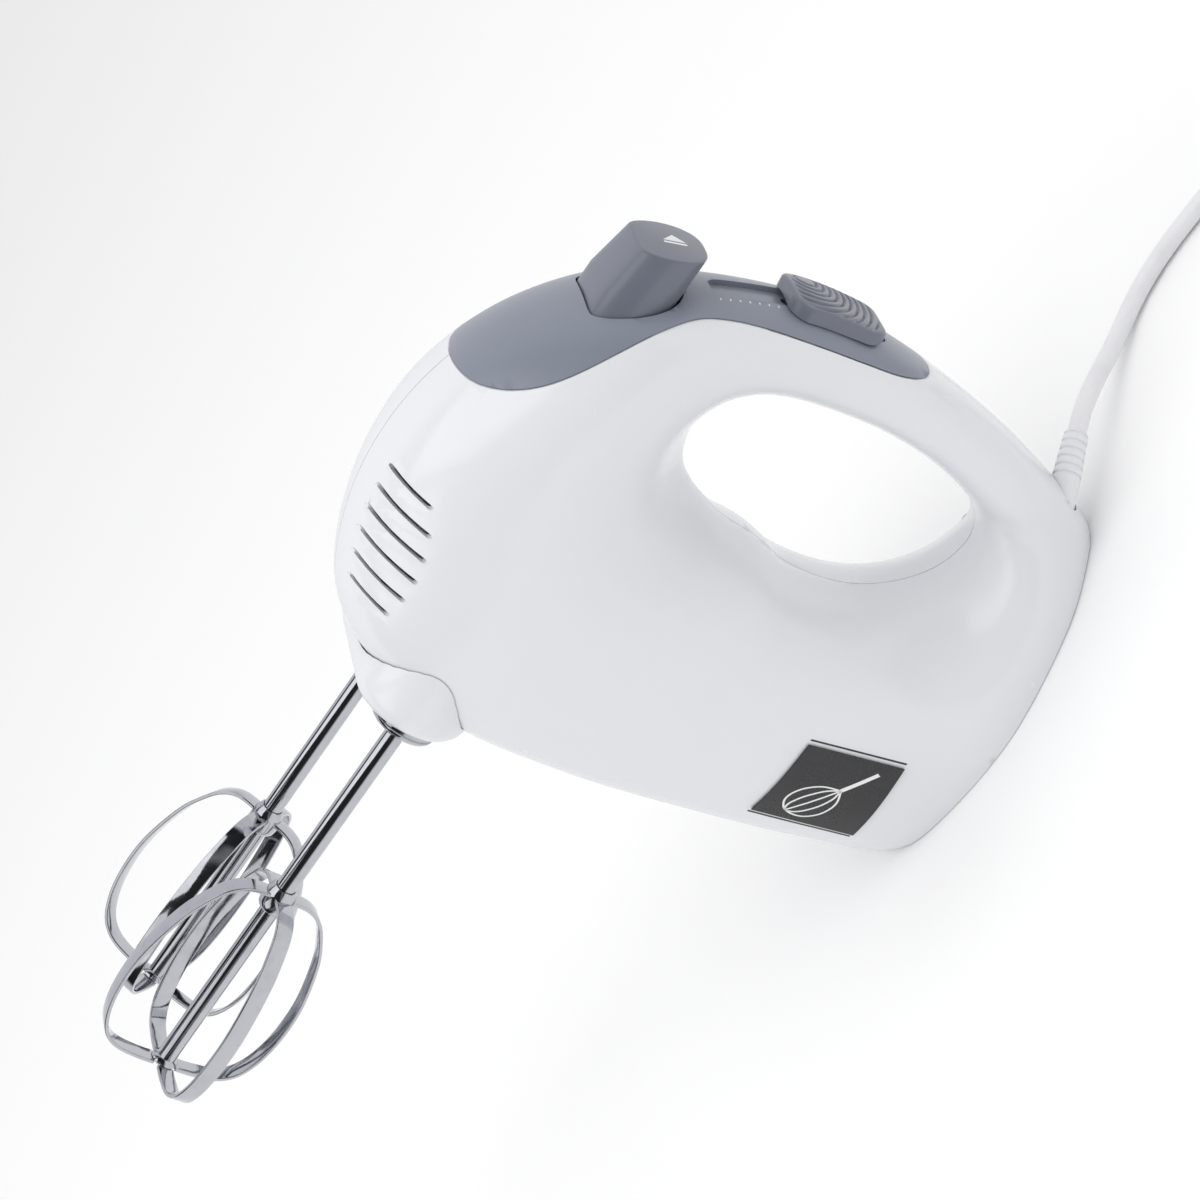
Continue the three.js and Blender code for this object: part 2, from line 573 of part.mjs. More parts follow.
function gearTrain() {
  const root = WHEEL_R - 1.9;
  for (const side of SIDES) {
    const suffix = side < 0 ? "left" : "right";
    const at = [side * SPINDLE_Y, AXIS_Z];
    const points = [];
    for (let i = 0; i < WHEEL_TEETH; i++) {
      const tooth = [[0, root], [0.3, WHEEL_R], [0.6, WHEEL_R], [0.9, root]];
      for (const [part, r] of tooth) {
        const angle = (2 * Math.PI * (i + part)) / WHEEL_TEETH;
        points.push([r * Math.cos(angle), r * Math.sin(angle)]);
      }
    }
    const teeth = outline(points);
    teeth.holes.push(new THREE.Path(circle(SPINDLE_R + GAP, 20)));
    add("worm_wheel_" + suffix, slabX(teeth, ...WHEEL_X).translate(0, ...at), NYLON);
    add("spindle_" + suffix, tube("x", SPINDLE_R, SHAFT_R + GAP, COLLAR_X - 2, -20, at), STEEL);
    const ring = tube("x", 9.6, SPINDLE_R + GAP, COLLAR_X - 3, COLLAR_X + 2.7, at, 28);
    add("socket_ring_" + suffix, ring, CHROME);
  }
  const plate = box(-30, -25.5, -31, 31, 130, 162);
  const post = tube("x", 6.5, 0, -26, SPRING_SEAT_X, [0, SPRING_Z], 16);
  const bores = SIDES.map((side) => {
    return tube("x", SPINDLE_R + GAP, 0, -40, -20, [side * SPINDLE_Y, AXIS_Z]);
  });
  add("gear_plate", cut(join(plate, post), ...bores), NYLON);
  const block = box(MOTOR_X - 8, MOTOR_X + 8, -10, 10, 163, 170);
  const socket = tube("z", MOTOR_SHAFT_R + GAP, 0, 160, 168.3, [MOTOR_X, 0], 16);
  add("nose_block", cut(block, socket), NYLON);
}

function wing() {
  const bow = new THREE.CatmullRomCurve3(WING.map(([x, r]) => new THREE.Vector3(x, r, 0)));
  const outer = [];
  const inner = [];
  for (let i = 0; i <= WING_STEPS; i++) {
    const point = bow.getPointAt(i / WING_STEPS);
    const tangent = bow.getTangentAt(i / WING_STEPS);
    outer.push([point.x, point.y]);
    inner.push([point.x - tangent.y * STRIP_THICK, point.y + tangent.x * STRIP_THICK]);
  }
  const band = outline(outer.concat(inner.reverse()));
  const strip = slabZ(band, -STRIP_WIDTH / 2, STRIP_WIDTH / 2);
  return solid(strip).subtract(solid(box(-90, 20, -30, WING_INNER_R, -10, 10)));
}

function beaters() {
  const blade = shell(wing());
  for (const side of SIDES) {
    const name = side < 0 ? "beater_left" : "beater_right";
    const at = [side * SPINDLE_Y, AXIS_Z];
    const shaft = turned([
      [0, BEATER_END_X], [3.6, BEATER_END_X], [4.2, BEATER_END_X + 1.2], [SHAFT_R, BEATER_END_X + 2.6],
      [SHAFT_R, SHAFT_TOP_X - 2], [SHAFT_R - 1.2, SHAFT_TOP_X], [0, SHAFT_TOP_X],
    ], 20);
    add(name + "_shaft", along("x", shaft, at), CHROME);
    const hub = tube("x", WING_INNER_R - GAP, SHAFT_R + GAP, BEATER_HUB_X - 3, BEATER_HUB_X + 5, at);
    add(name + "_hub", hub, CHROME);
    for (let i = 0; i < 4; i++) {
      const turn = (side < 0 ? LEFT_TURN : RIGHT_TURN) + (i * Math.PI) / 2;
      const turnedBlade = blade.clone().rotateX(turn).translate(BEATER_HUB_X, ...at);
      add(name + "_wing_" + (i + 1), turnedBlade, CHROME);
    }
  }
}

function housingScrews() {
  SCREWS.forEach(([x, z], i) => {
    const stem = tube("y", 1.5, 0, -12, SCREW_SEAT_Y + 1, [x, z], 10);
    const head = tube("y", 3.4, 0, SCREW_SEAT_Y + GAP, SCREW_SEAT_Y + 2.8, [x, z], 14);
    add("housing_screw_" + (i + 1), join(stem, head), STEEL);
  });
}

function cord() {
  const route = new THREE.CatmullRomCurve3(CORD_ROUTE.map((point) => new THREE.Vector3(...point)));
  const sleeve = new THREE.ExtrudeGeometry(new THREE.Shape(circle(CORD_R, 10)), {
    extrudePath: route, steps: 24, bevelEnabled: false,
  });
  add("mains_cord", sleeve, CORD_WHITE);
  const hank = [
    [COIL_R[0], 0.1], [COIL_R[1], 0.1], [COIL_R[1], COIL_HEIGHT], [COIL_R[0], COIL_HEIGHT],
    [COIL_R[0], 0.1],
  ];
  add("cord_coil", along("z", turned(hank, 28), COIL_AT), CORD_WHITE);
  const boot = turned([
    [CORD_R + GAP, -12], [4.1, -12], [4.1, 4], [3.5, 18],
    [CORD_R + GAP, 18], [CORD_R + GAP, -12],
  ], 20);
  boot.rotateZ(CORD_TURN - Math.PI / 2).translate(...CORD_EXIT);
  add("strain_relief", boot, CORD_WHITE);
  const [px, py] = PLUG_AT;
  add("cord_tail", tube("y", CORD_R, 0, py + GAP, py + 18, [px, 7.6], 8), CORD_WHITE);
  const shape = box(px - 9, px + 9, py - 34, py, 0.2, 15);
  const pinRoom = PIN_X.map((x) => tube("y", 2.3, 0, py - 40, py - 26, [px + x, 7.6], 12));
  add("plug_body", cut(shape, ...pinRoom), CORD_WHITE);
  PIN_X.forEach((x, i) => {
    add("plug_pin_" + (i + 1), tube("y", 2, 0, py - 52, py - 26.3, [px + x, 7.6], 12), CHROME);
  });
}

function ratingPlate() {
  add("rating_plate", box(-20, 20, -11, 11, 0, 0.9), STEEL);
}

housing();
topCover();
noseCollar();
labelPlate();
ejectButton();
ejectYoke();
ejectSpring();
speedSlider();
motor();
gearTrain();
beaters();
housingScrews();
ratingPlate();
cord();

export default mixer;
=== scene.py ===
import math

import bpy
from mathutils import Matrix, Vector
from mathutils.bvhtree import BVHTree


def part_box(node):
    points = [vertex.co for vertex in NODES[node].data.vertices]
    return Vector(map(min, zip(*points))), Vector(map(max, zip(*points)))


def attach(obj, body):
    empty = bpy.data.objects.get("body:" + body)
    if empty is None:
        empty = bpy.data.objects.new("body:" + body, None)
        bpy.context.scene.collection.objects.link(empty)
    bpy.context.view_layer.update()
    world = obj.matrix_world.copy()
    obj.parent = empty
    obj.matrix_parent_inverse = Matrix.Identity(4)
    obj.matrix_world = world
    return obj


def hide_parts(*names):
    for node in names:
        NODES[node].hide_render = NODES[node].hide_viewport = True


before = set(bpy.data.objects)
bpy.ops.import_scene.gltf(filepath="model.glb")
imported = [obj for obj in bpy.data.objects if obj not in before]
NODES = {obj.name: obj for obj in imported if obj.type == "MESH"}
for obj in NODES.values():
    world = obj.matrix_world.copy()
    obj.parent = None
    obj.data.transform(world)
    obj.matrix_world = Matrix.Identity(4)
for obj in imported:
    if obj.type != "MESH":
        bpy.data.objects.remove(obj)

# A hand mixer standing on its heel. Pieces are modelled in millimetres and brought to metres when done.
MM = 0.001
TO_METRES = Matrix.Scale(MM, 4)
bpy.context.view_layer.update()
SIDES = (("left", -1), ("right", 1))


# ---------------------------------------------------------------- camera
def make_camera():
    right = Vector((0.5523, -0.1786, -0.8143))
    up = Vector((0.7633, 0.5011, 0.4078))
    back = Vector((0.3352, -0.8467, 0.4131))
    data = bpy.data.cameras.new("camera")
    data.sensor_width = 36
    data.lens = 94.96
    data.clip_start = 0.01
    data.clip_end = 20
    camera = bpy.data.objects.new("camera", data)
    bpy.context.scene.collection.objects.link(camera)
    camera.rotation_mode = "QUATERNION"
    camera.rotation_quaternion = Matrix((right, up, back)).transposed().to_quaternion()
    camera.location = (0.25861, -0.74159, 0.47137)
    bpy.context.scene.camera = camera


make_camera()


# ---------------------------------------------------------------- helpers for modelling
def only(piece):
    """Leaves this piece alone selected and active."""
    if bpy.context.object and bpy.context.object.mode != "OBJECT":
        bpy.ops.object.mode_set(mode="OBJECT")
    bpy.ops.object.select_all(action="DESELECT")
    piece.select_set(True)
    bpy.context.view_layer.objects.active = piece


def mesh_piece(name, points, faces, edges=()):
    mesh = bpy.data.meshes.new(name)
    mesh.from_pydata([tuple(p) for p in points], list(edges), faces)
    mesh.update()
    piece = bpy.data.objects.new(name, mesh)
    bpy.context.scene.collection.objects.link(piece)
    return piece


def modify(piece, kind, **settings):
    """Adds a modifier with these settings and applies it."""
    only(piece)
    modifier = piece.modifiers.new(kind.lower(), kind)
    for key, value in settings.items():
        setattr(modifier, key, value)
    bpy.ops.object.modifier_apply(modifier=modifier.name)
    return piece


def boolean(piece, operation, tool):
    modify(piece, "BOOLEAN", operation=operation, object=tool, solver="MANIFOLD")
    bpy.data.objects.remove(tool)
    return piece


def cut(piece, *tools):
    for tool in tools:
        boolean(piece, "DIFFERENCE", tool)
    return piece


def copy_of(piece, name):
    other = piece.copy()
    other.data = piece.data.copy()
    other.name = other.data.name = name
    bpy.context.scene.collection.objects.link(other)
    return other


def edit(piece, action):
    """Runs operators in edit mode with everything selected."""
    only(piece)
    bpy.ops.object.mode_set(mode="EDIT")
    bpy.ops.mesh.select_all(action="SELECT")
    action()
    bpy.ops.object.mode_set(mode="OBJECT")
    return piece


def outwards():
    bpy.ops.mesh.remove_doubles(threshold=0.001)
    bpy.ops.mesh.normals_make_consistent(inside=False)


def block(name, low, high):
    only_nothing()
    middle = [(a + b) / 2 for a, b in zip(low, high)]
    bpy.ops.mesh.primitive_cube_add(size=1, location=middle, scale=[b - a for a, b in zip(low, high)])
    return placed(name)


def rod(name, radius, start, end, sides=48):
    """A cylinder between two points."""
    only_nothing()
    start, end = Vector(start), Vector(end)
    turn = (end - start).to_track_quat("Z", "Y").to_euler()
    bpy.ops.mesh.primitive_cylinder_add(
        vertices=sides, radius=radius, depth=(end - start).length,
        location=(start + end) / 2, rotation=turn)
    return placed(name)


def only_nothing():
    if bpy.context.object and bpy.context.object.mode != "OBJECT":
        bpy.ops.object.mode_set(mode="OBJECT")
    bpy.ops.object.select_all(action="DESELECT")


def placed(name):
    """Names the primitive just added and puts its place in its mesh."""
    piece = bpy.context.object
    piece.name = piece.data.name = name
    bpy.ops.object.transform_apply(location=True, rotation=True, scale=True)
    return piece


def prism(name, outline, start, end, axis):
    """Extrudes a flat outline along an axis: (y, z) along X, (x, z) along Y, (x, y) along Z."""
    lift = {
        "X": lambda a, b: (start, a, b),
        "Y": lambda a, b: (a, start, b),
        "Z": lambda a, b: (a, b, start),
    }
    step = {"X": (end - start, 0, 0), "Y": (0, end - start, 0), "Z": (0, 0, end - start)}[axis]
    piece = mesh_piece(name, [lift[axis](a, b) for a, b in outline], [list(range(len(outline)))])

    def raise_it():
        bpy.ops.mesh.extrude_region_move(TRANSFORM_OT_translate={"value": step})
        bpy.ops.mesh.select_all(action="SELECT")
        outwards()

    return edit(piece, raise_it)


def turned(name, profile, start, direction="X", sides=64):
    """Spins a profile of (place along, radius) about an axis through a point."""
    axis = {"X": Vector((1, 0, 0)), "Y": Vector((0, 1, 0)), "Z": Vector((0, 0, 1))}[direction]
    out = Vector((0, 0, 1)) if direction != "Z" else Vector((1, 0, 0))
    base = Vector(start)
    points = [base + axis * along + out * radius for along, radius in profile]
    edges = [(i, i + 1) for i in range(len(points) - 1)]
    piece = mesh_piece(name, points, [], edges)

    def spin():
        bpy.ops.mesh.spin(steps=sides, angle=2 * math.pi, center=base, axis=axis)
        bpy.ops.mesh.select_all(action="SELECT")
        outwards()

    return edit(piece, spin)


def smooth_path(points, closed, per):
    """A curve through all the points."""
    count = len(points)
    spans = count if closed else count - 1
    path = []
    for i in range(spans):
        if closed:
            a, b, c, d = (points[(i + k) % count] for k in (-1, 0, 1, 2))
        else:
            a, b = points[max(i - 1, 0)], points[i]
            c, d = points[i + 1], points[min(i + 2, count - 1)]
        for j in range(per):
            path.append(tuple(blend(*near, j / per) for near in zip(a, b, c, d)))
    if not closed:
        path.append(tuple(points[-1]))
    return path


def blend(a, b, c, d, t):
    return b + 0.5 * t * (c - a + t * (2 * a - 5 * b + 4 * c - d + t * (3 * (b - c) + d - a)))


def round_edges(piece, width, segments=2, angle=35):
    return modify(
        piece, "BEVEL", width=width, segments=segments, limit_method="ANGLE",
        angle_limit=math.radians(angle), use_clamp_overlap=True, miter_outer="MITER_ARC")


def soften(piece, angle=35):
    only(piece)
    bpy.ops.object.shade_smooth_by_angle(angle=math.radians(angle))


def done(piece, material, body, slot, *nodes):
    """Brings a piece to metres, gives it its finish and its body, and lets it stand for its CAD nodes."""
    piece.data.transform(TO_METRES)
    piece.data.materials.clear()
    piece.data.materials.append(material)
    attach(piece, body)
    if nodes:
        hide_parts(*nodes)
    return piece


def middle_of(node):
    low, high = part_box(node)
    return (low + high) * 500


def span_of(node):
    low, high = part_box(node)
    return low * 1000, high * 1000


# ---------------------------------------------------------------- finishes
class Value:
    """A number that varies over a surface. Operators on it add Math nodes."""

    def __init__(self, finish, socket):
        self.finish = finish
        self.socket = socket

    def __add__(self, other):
        return self.finish.maths("ADD", self, other)

    def __mul__(self, other):
        return self.finish.maths("MULTIPLY", self, other)

    __radd__ = __add__
    __rmul__ = __mul__


class Finish:
    """A surface finish: one Principled shader and the nodes that vary it."""

    def __init__(self, name, colour, roughness, **uniform):
        self.material = bpy.data.materials.new(name)
        self.material.use_nodes = True
        self.tree = self.material.node_tree
        self.shader = self.tree.nodes["Principled BSDF"]
        self.feed(self.shader.inputs["Base Color"], (*colour, 1))
        self.feed(self.shader.inputs["Roughness"], roughness)
        for key, value in uniform.items():
            self.feed(self.shader.inputs[key.replace("_", " ").title().replace("Ior", "IOR")], value)
        self.colour = colour
        self.place = self.node("TexCoord").outputs["Object"]

    def feed(self, socket, value):
        if isinstance(value, Value):
            value = value.socket
        if isinstance(value, bpy.types.NodeSocket):
            self.tree.links.new(value, socket)
        else:
            socket.default_value = value

    def node(self, kind, settings=None, **sockets):
        node = self.tree.nodes.new("ShaderNode" + kind)
        for key, value in (settings or {}).items():
            if key == "stops":
                for stop, (position, colour) in zip(node.color_ramp.elements, value):
                    stop.position = position
                    stop.color = colour
            else:
                setattr(node, key, value)
        for key, value in sockets.items():
            self.feed(node.inputs[int(key[1:]) if key[1:].isdigit() else key.replace("_", " ")], value)
        return node

    def maths(self, operation, first, second):
        node = self.node("Math", {"operation": operation}, _0=first, _1=second)
        return Value(self, node.outputs[0])

    def grain(self, scale, detail=2.0, stretch=None):
        """Noise from 0 to 1; scale is cells per metre, and stretch lengthens it along an axis."""
        place = self.place
        if stretch:
            place = self.node("Mapping", None, Vector=self.place, Scale=stretch).outputs[0]
        noise = self.node("TexNoise", None, Vector=place, Scale=scale, Detail=detail)
        return Value(self, noise.outputs[0])

    def ramp(self, value, low, high):
        node = self.node("MapRange", None, Value=value)
        node.inputs[1].default_value = low
        node.inputs[2].default_value = high
        return Value(self, node.outputs[0])

    def tint(self, other, share):
        """Base colour that varies from the plain colour to another one."""
        node = self.node("Mix", {"data_type": "RGBA"}, _0=share, _6=(*self.colour, 1), _7=(*other, 1))
        self.feed(self.shader.inputs["Base Color"], node.outputs[2])

    def rough(self, value):
        self.feed(self.shader.inputs["Roughness"], value)

    def relief(self, height, depth, strength=1.0):
        """Bump; depth is in metres for a height of 1."""
        node = self.node("Bump", None, Strength=strength, Distance=depth, Height=height)
        self.feed(self.shader.inputs["Normal"], node.outputs[0])


def glossy_white(name):
    """Moulded white shell: faint unevenness of colour, slight flow waviness and light handling marks."""
    f = Finish(name, (0.755, 0.765, 0.79), 0.2, coat_weight=0.25, coat_roughness=0.12, ior=1.5)
    clouds = f.grain(22)
    marks = f.ramp(f.grain(160, 5), 0.45, 0.75)
    f.tint((0.725, 0.74, 0.775), clouds * 0.7 + marks * 0.1)
    f.rough(0.17 + clouds * 0.06 + marks * 0.07)
    f.relief(f.grain(240) * 0.7 + f.grain(1400) * 0.3, 0.00004, 0.5)
    return f.material


def satin_grey(name, colour):
    """Blue-grey satin plastic with a fine spark-eroded grain."""
    f = Finish(name, colour, 0.34, coat_weight=0.3, coat_roughness=0.2, ior=1.5)
    clouds = f.grain(30)
    speck = f.grain(2600, 3)
    f.tint(tuple(c * 1.13 for c in colour), clouds * 0.6 + speck * 0.4)
    f.rough(0.28 + clouds * 0.08 + speck * 0.1)
    f.relief(speck, 0.00006, 0.4)
    return f.material


def polished_chrome(name, along):
    """Bright plating with drawing lines along the wire and faint water marks."""
    f = Finish(name, (0.5, 0.51, 0.54), 0.07, metallic=1.0)
    lines = f.grain(900, 3, along)
    marks = f.ramp(f.grain(210, 4), 0.5, 0.8)
    f.tint((0.4, 0.41, 0.44), marks * 0.6 + lines * 0.2)
    f.rough(0.035 + lines * 0.07 + marks * 0.1)
    f.relief(f.grain(60) * 0.8 + lines * 0.2, 0.00012, 0.35)
    return f.material


def plain_metal(name, colour, roughness, other):
    """Uncoated metal of the inner parts: mill lines and dull patches."""
    f = Finish(name, colour, roughness, metallic=1.0)
    lines = f.grain(700, 4, (1, 1, 0.08))
    patches = f.ramp(f.grain(90, 4), 0.4, 0.7)
    f.tint(other, patches * 0.7)
    f.rough(roughness - 0.05 + lines * 0.12 + patches * 0.12)
    f.relief(lines, 0.00005, 0.5)
    return f.material


def plain_plastic(name, colour, roughness, other):
    f = Finish(name, colour, roughness)
    clouds = f.grain(60)
    speck = f.grain(1800, 3)
    f.tint(other, clouds * 0.6 + speck * 0.3)
    f.rough(roughness - 0.04 + clouds * 0.08 + speck * 0.06)
    f.relief(speck * 0.6 + clouds * 0.4, 0.00008, 0.4)
    return f.material


def soft_vinyl(name):
    """Flexible cord jacket: slightly waxy, with faint ripples and scuffs."""
    f = Finish(name, (0.8, 0.8, 0.82), 0.42, subsurface_weight=0.05)
    f.shader.inputs["Subsurface Scale"].default_value = 0.002
    ripple = f.grain(420, 2)
    scuffs = f.ramp(f.grain(120, 5), 0.5, 0.8)
    f.tint((0.7, 0.7, 0.72), scuffs * 0.5)
    f.rough(0.36 + ripple * 0.1 + scuffs * 0.1)
    f.relief(ripple, 0.0001, 0.5)
    return f.material


WHITE = glossy_white("shell_white")
GREY = satin_grey("cover_grey", (0.2, 0.22, 0.272))
BUTTON_GREY = satin_grey("button_grey", (0.13, 0.143, 0.182))
CHROME = polished_chrome("beater_chrome", (0.05, 1, 1))
BLACK = plain_plastic("label_black", (0.018, 0.018, 0.02), 0.25, (0.03, 0.03, 0.032))
INK = plain_plastic("white_ink", (0.85, 0.85, 0.86), 0.45, (0.78, 0.78, 0.79))
VINYL = soft_vinyl("cord_vinyl")
STEEL = plain_metal("plain_steel", (0.42, 0.42, 0.43), 0.38, (0.3, 0.3, 0.31))
LAMINATE = plain_metal("motor_laminate", (0.25, 0.25, 0.26), 0.5, (0.17, 0.16, 0.15))
COPPER = plain_metal("wound_copper", (0.72, 0.32, 0.16), 0.32, (0.5, 0.2, 0.1))
BRONZE = plain_metal("sintered_bronze", (0.5, 0.34, 0.16), 0.45, (0.36, 0.24, 0.12))
NYLON = plain_plastic("milky_nylon", (0.72, 0.69, 0.6), 0.5, (0.64, 0.6, 0.5))
CARBON = plain_plastic("brush_carbon", (0.03, 0.03, 0.03), 0.6, (0.05, 0.05, 0.05))
SWITCH_BLACK = plain_plastic("switch_black", (0.03, 0.03, 0.033), 0.45, (0.05, 0.05, 0.055))
FOIL = plain_metal("plate_foil", (0.68, 0.69, 0.7), 0.35, (0.58, 0.59, 0.6))
NICKEL = plain_metal("pin_nickel", (0.66, 0.64, 0.6), 0.22, (0.55, 0.53, 0.49))


# ---------------------------------------------------------------- cord
CORD_ROUTE = [
    (51.1, -6.5, 13), (57, -0.4, 13), (61.9, 4.6, 13), (66.8, 9.6, 13), (71, 13.9, 13), (75.6, 19.4, 12.3),
    (80.2, 25.6, 10.4), (84.8, 32, 7.9), (89.6, 38.2, 5.4), (95.2, 43.9, 3.7), (102.3, 48.6, 3),
    (110.8, 51.6, 2.85), (120, 53, 2.85), (130, 53.2, 2.85), (140, 52.7, 2.85), (147.5, 52, 2.85),
    (155, 51.2, 2.85),
]
CORD_DIAMETER = 5.5
CORD_TURN = 0.8
COIL_MIDDLE = (182, 18)
# Radius and height of the cord's middle at the end of each turn of the coil.
LANES = [(35, 2.85), (29.4, 2.85), (23.8, 2.85), (26.6, 7.9), (32.2, 7.9)]
TAIL = (223.5, 7.6)
PER_TURN = 24


def cord_points():
    points = list(CORD_ROUTE)
    cx, cy = COIL_MIDDLE
    start = math.atan2(points[-1][1] - cy, points[-1][0] - cx)
    knots = [(0, 42.8, 2.85), (55, *LANES[0]), (230, *LANES[0])]
    turn = 230
    for low, high in zip(LANES, LANES[1:]):
        knots += [(turn + 70, *high), (turn + 360, *high)]
        turn += 360
    last = math.degrees(start) + 360 * len(LANES)
    knots = [knot for knot in knots if knot[0] < last - 130]
    knots += [(last - 120, *LANES[-1]), (last, TAIL[0] - cx, TAIL[1])]
    steps = round(last / 360 * PER_TURN)
    for i in range(1, steps + 1):
        at = last * i / steps
        for (a, r0, z0), (b, r1, z1) in zip(knots, knots[1:]):
            if a <= at <= b + 1e-6:
                t = (at - a) / (b - a)
                t = t * t * (3 - 2 * t)
                angle = start - math.radians(at)
                r = r0 + (r1 - r0) * t
                points.append((cx + r * math.cos(angle), cy + r * math.sin(angle), z0 + (z1 - z0) * t))
                break
    points += [(TAIL[0], y, TAIL[1]) for y in (12, 6, 0, -6)]
    return points


def make_cord():
    curve = bpy.data.curves.new("mains_cord_run", "CURVE")
    curve.dimensions = "3D"
    curve.bevel_depth = CORD_DIAMETER / 2 * MM
    curve.bevel_resolution = 6
    curve.resolution_u = 6
    curve.use_fill_caps = True
    points = cord_points()
    spline = curve.splines.new("BEZIER")
    spline.bezier_points.add(len(points) - 1)
    for knot, point in zip(spline.bezier_points, points):
        knot.co = Vector(point) * MM
        knot.handle_left_type = knot.handle_right_type = "AUTO"
    curve.materials.append(VINYL)
    piece = bpy.data.objects.new("mains_cord_run", curve)
    bpy.context.scene.collection.objects.link(piece)
    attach(piece, "housing")
    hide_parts("mains_cord", "cord_coil", "cord_tail")
    return piece


def make_relief():
    """Tapered boot with ribs round the cord, turned with it."""
    profile = [(-12, 3.05), (-12, 4.1), (1.2, 4.1)]
    for i in range(6):
        at = 2 + i * 2.6
        radius = 4.2 - 0.11 * i
        profile += [(at, radius), (at + 1.5, radius - 0.05)]
        profile += [(at + 1.7, radius - 0.55), (at + 2.4, radius - 0.6)]
    profile += [(17.6, 3.45), (18, 3.2), (18, 3.05), (-12, 3.05)]
    piece = turned("cord_boot", profile, (0, 0, 0))
    piece.data.transform(Matrix.Translation(Vector(CORD_ROUTE[1])) @ Matrix.Rotation(CORD_TURN, 4, "Z"))
    soften(round_edges(piece, 0.2), 40)
    return done(piece, VINYL, "housing", "cord_vinyl", "strain_relief")


def make_plug():
    low, high = span_of("plug_body")
    grip = block("plug_grip", low, high)
    middle = (low + high) / 2

    def waist():
        bpy.ops.mesh.subdivide(number_cuts=5)

    edit(grip, waist)
    for v in grip.data.vertices:
        share = (v.co.y - low.y) / (high.y - low.y)
        squeeze = 1 - 0.28 * max(0.0, share - 0.35) / 0.65 - 0.06 * math.sin(math.pi * min(1, share * 1.6))
        v.co.x = middle.x + (v.co.x - middle.x) * squeeze
        v.co.z = middle.z + (v.co.z - middle.z) * (1 - 0.12 * max(0.0, share - 0.35) / 0.65)
    modify(grip, "BEVEL", width=2.4, segments=5, limit_method="ANGLE", angle_limit=math.radians(50))
    ribs = []
    for i in range(4):
        at = high.y - 5 - i * 3.2
        for side in (-1, 1):
            x = middle.x + side * (7.9 - 0.12 * (3 - i))
            ribs.append(rod("rib", 0.55, (x, at, middle.z - 4), (x, at, middle.z + 4), 12))
    cut(grip, *ribs)
    pieces = []
    for i in (1, 2):
        a, b = span_of(f"plug_pin_{i}")
        x, z = (a.x + b.x) / 2, (a.z + b.z) / 2
        cut(grip, rod("room", 2.3, (x, low.y - 5, z), (x, low.y + 8, z)))
        profile = [(0, 0), (0, 1.3), (0.9, 1.9), (1.6, 2), (b.y - a.y, 2), (b.y - a.y, 0)]
        pin = turned(f"plug_pin_{i}_round", profile, (x, a.y, z), "Y", 40)
        soften(pin, 40)
        pieces.append(done(pin, NICKEL, "housing", "pin_nickel", f"plug_pin_{i}"))
        sleeve_profile = [(7, 2.02), (7, 2.12), (b.y - a.y - 4, 2.12), (b.y - a.y - 4, 2.02), (7, 2.02)]
        sleeve = turned(f"plug_pin_{i}_sleeve", sleeve_profile, (x, a.y, z), "Y", 40)
        soften(sleeve, 40)
        pieces.append(done(sleeve, VINYL, "housing", "cord_vinyl"))
    soften(grip, 40)
    pieces.append(done(grip, VINYL, "housing", "cord_vinyl", "plug_body"))
    return pieces


def make_tie():
    """A flat band round all the turns of the coil."""
    angle = math.radians(205)
    inner, outer, low, high, corner = 20.7, 38.1, 0.06, 11.0, 2.4
    outline = []
    for cx, cz, first in (
        (outer - corner, high - corner, 0), (inner + corner, high - corner, 90),
        (inner + corner, low + corner, 180), (outer - corner, low + corner, 270),
    ):
        for k in range(7):
            a = math.radians(first + 15 * k)
            outline.append((cx + corner * math.cos(a), cz + corner * math.sin(a)))
    count = len(outline)
    rings = []
    for grow, across in ((0, -3), (0, 3), (-0.6, 3), (-0.6, -3)):
        for r, z in outline:
            mid_r, mid_z = (inner + outer) / 2, (low + high) / 2
            size = math.hypot(r - mid_r, z - mid_z)
            k = 1 + grow / size
            rings.append((mid_r + (r - mid_r) * k, across, mid_z + (z - mid_z) * k))
    faces = []
    for ring in range(4):
        for i in range(count):
            a, b = ring * count + i, ring * count + (i + 1) % count
            c, d = ((ring + 1) % 4) * count + (i + 1) % count, ((ring + 1) % 4) * count + i
            faces.append((a, b, c, d))
    piece = mesh_piece("coil_tie", rings, faces)
    edit(piece, outwards)
    place = Matrix.Translation((*COIL_MIDDLE, 0)) @ Matrix.Rotation(angle, 4, "Z")
    piece.data.transform(place)
    soften(piece, 40)
    return done(piece, SWITCH_BLACK, "housing", "switch_black")


cord = make_cord()
on_cord = [make_relief(), *make_plug(), make_tie()]


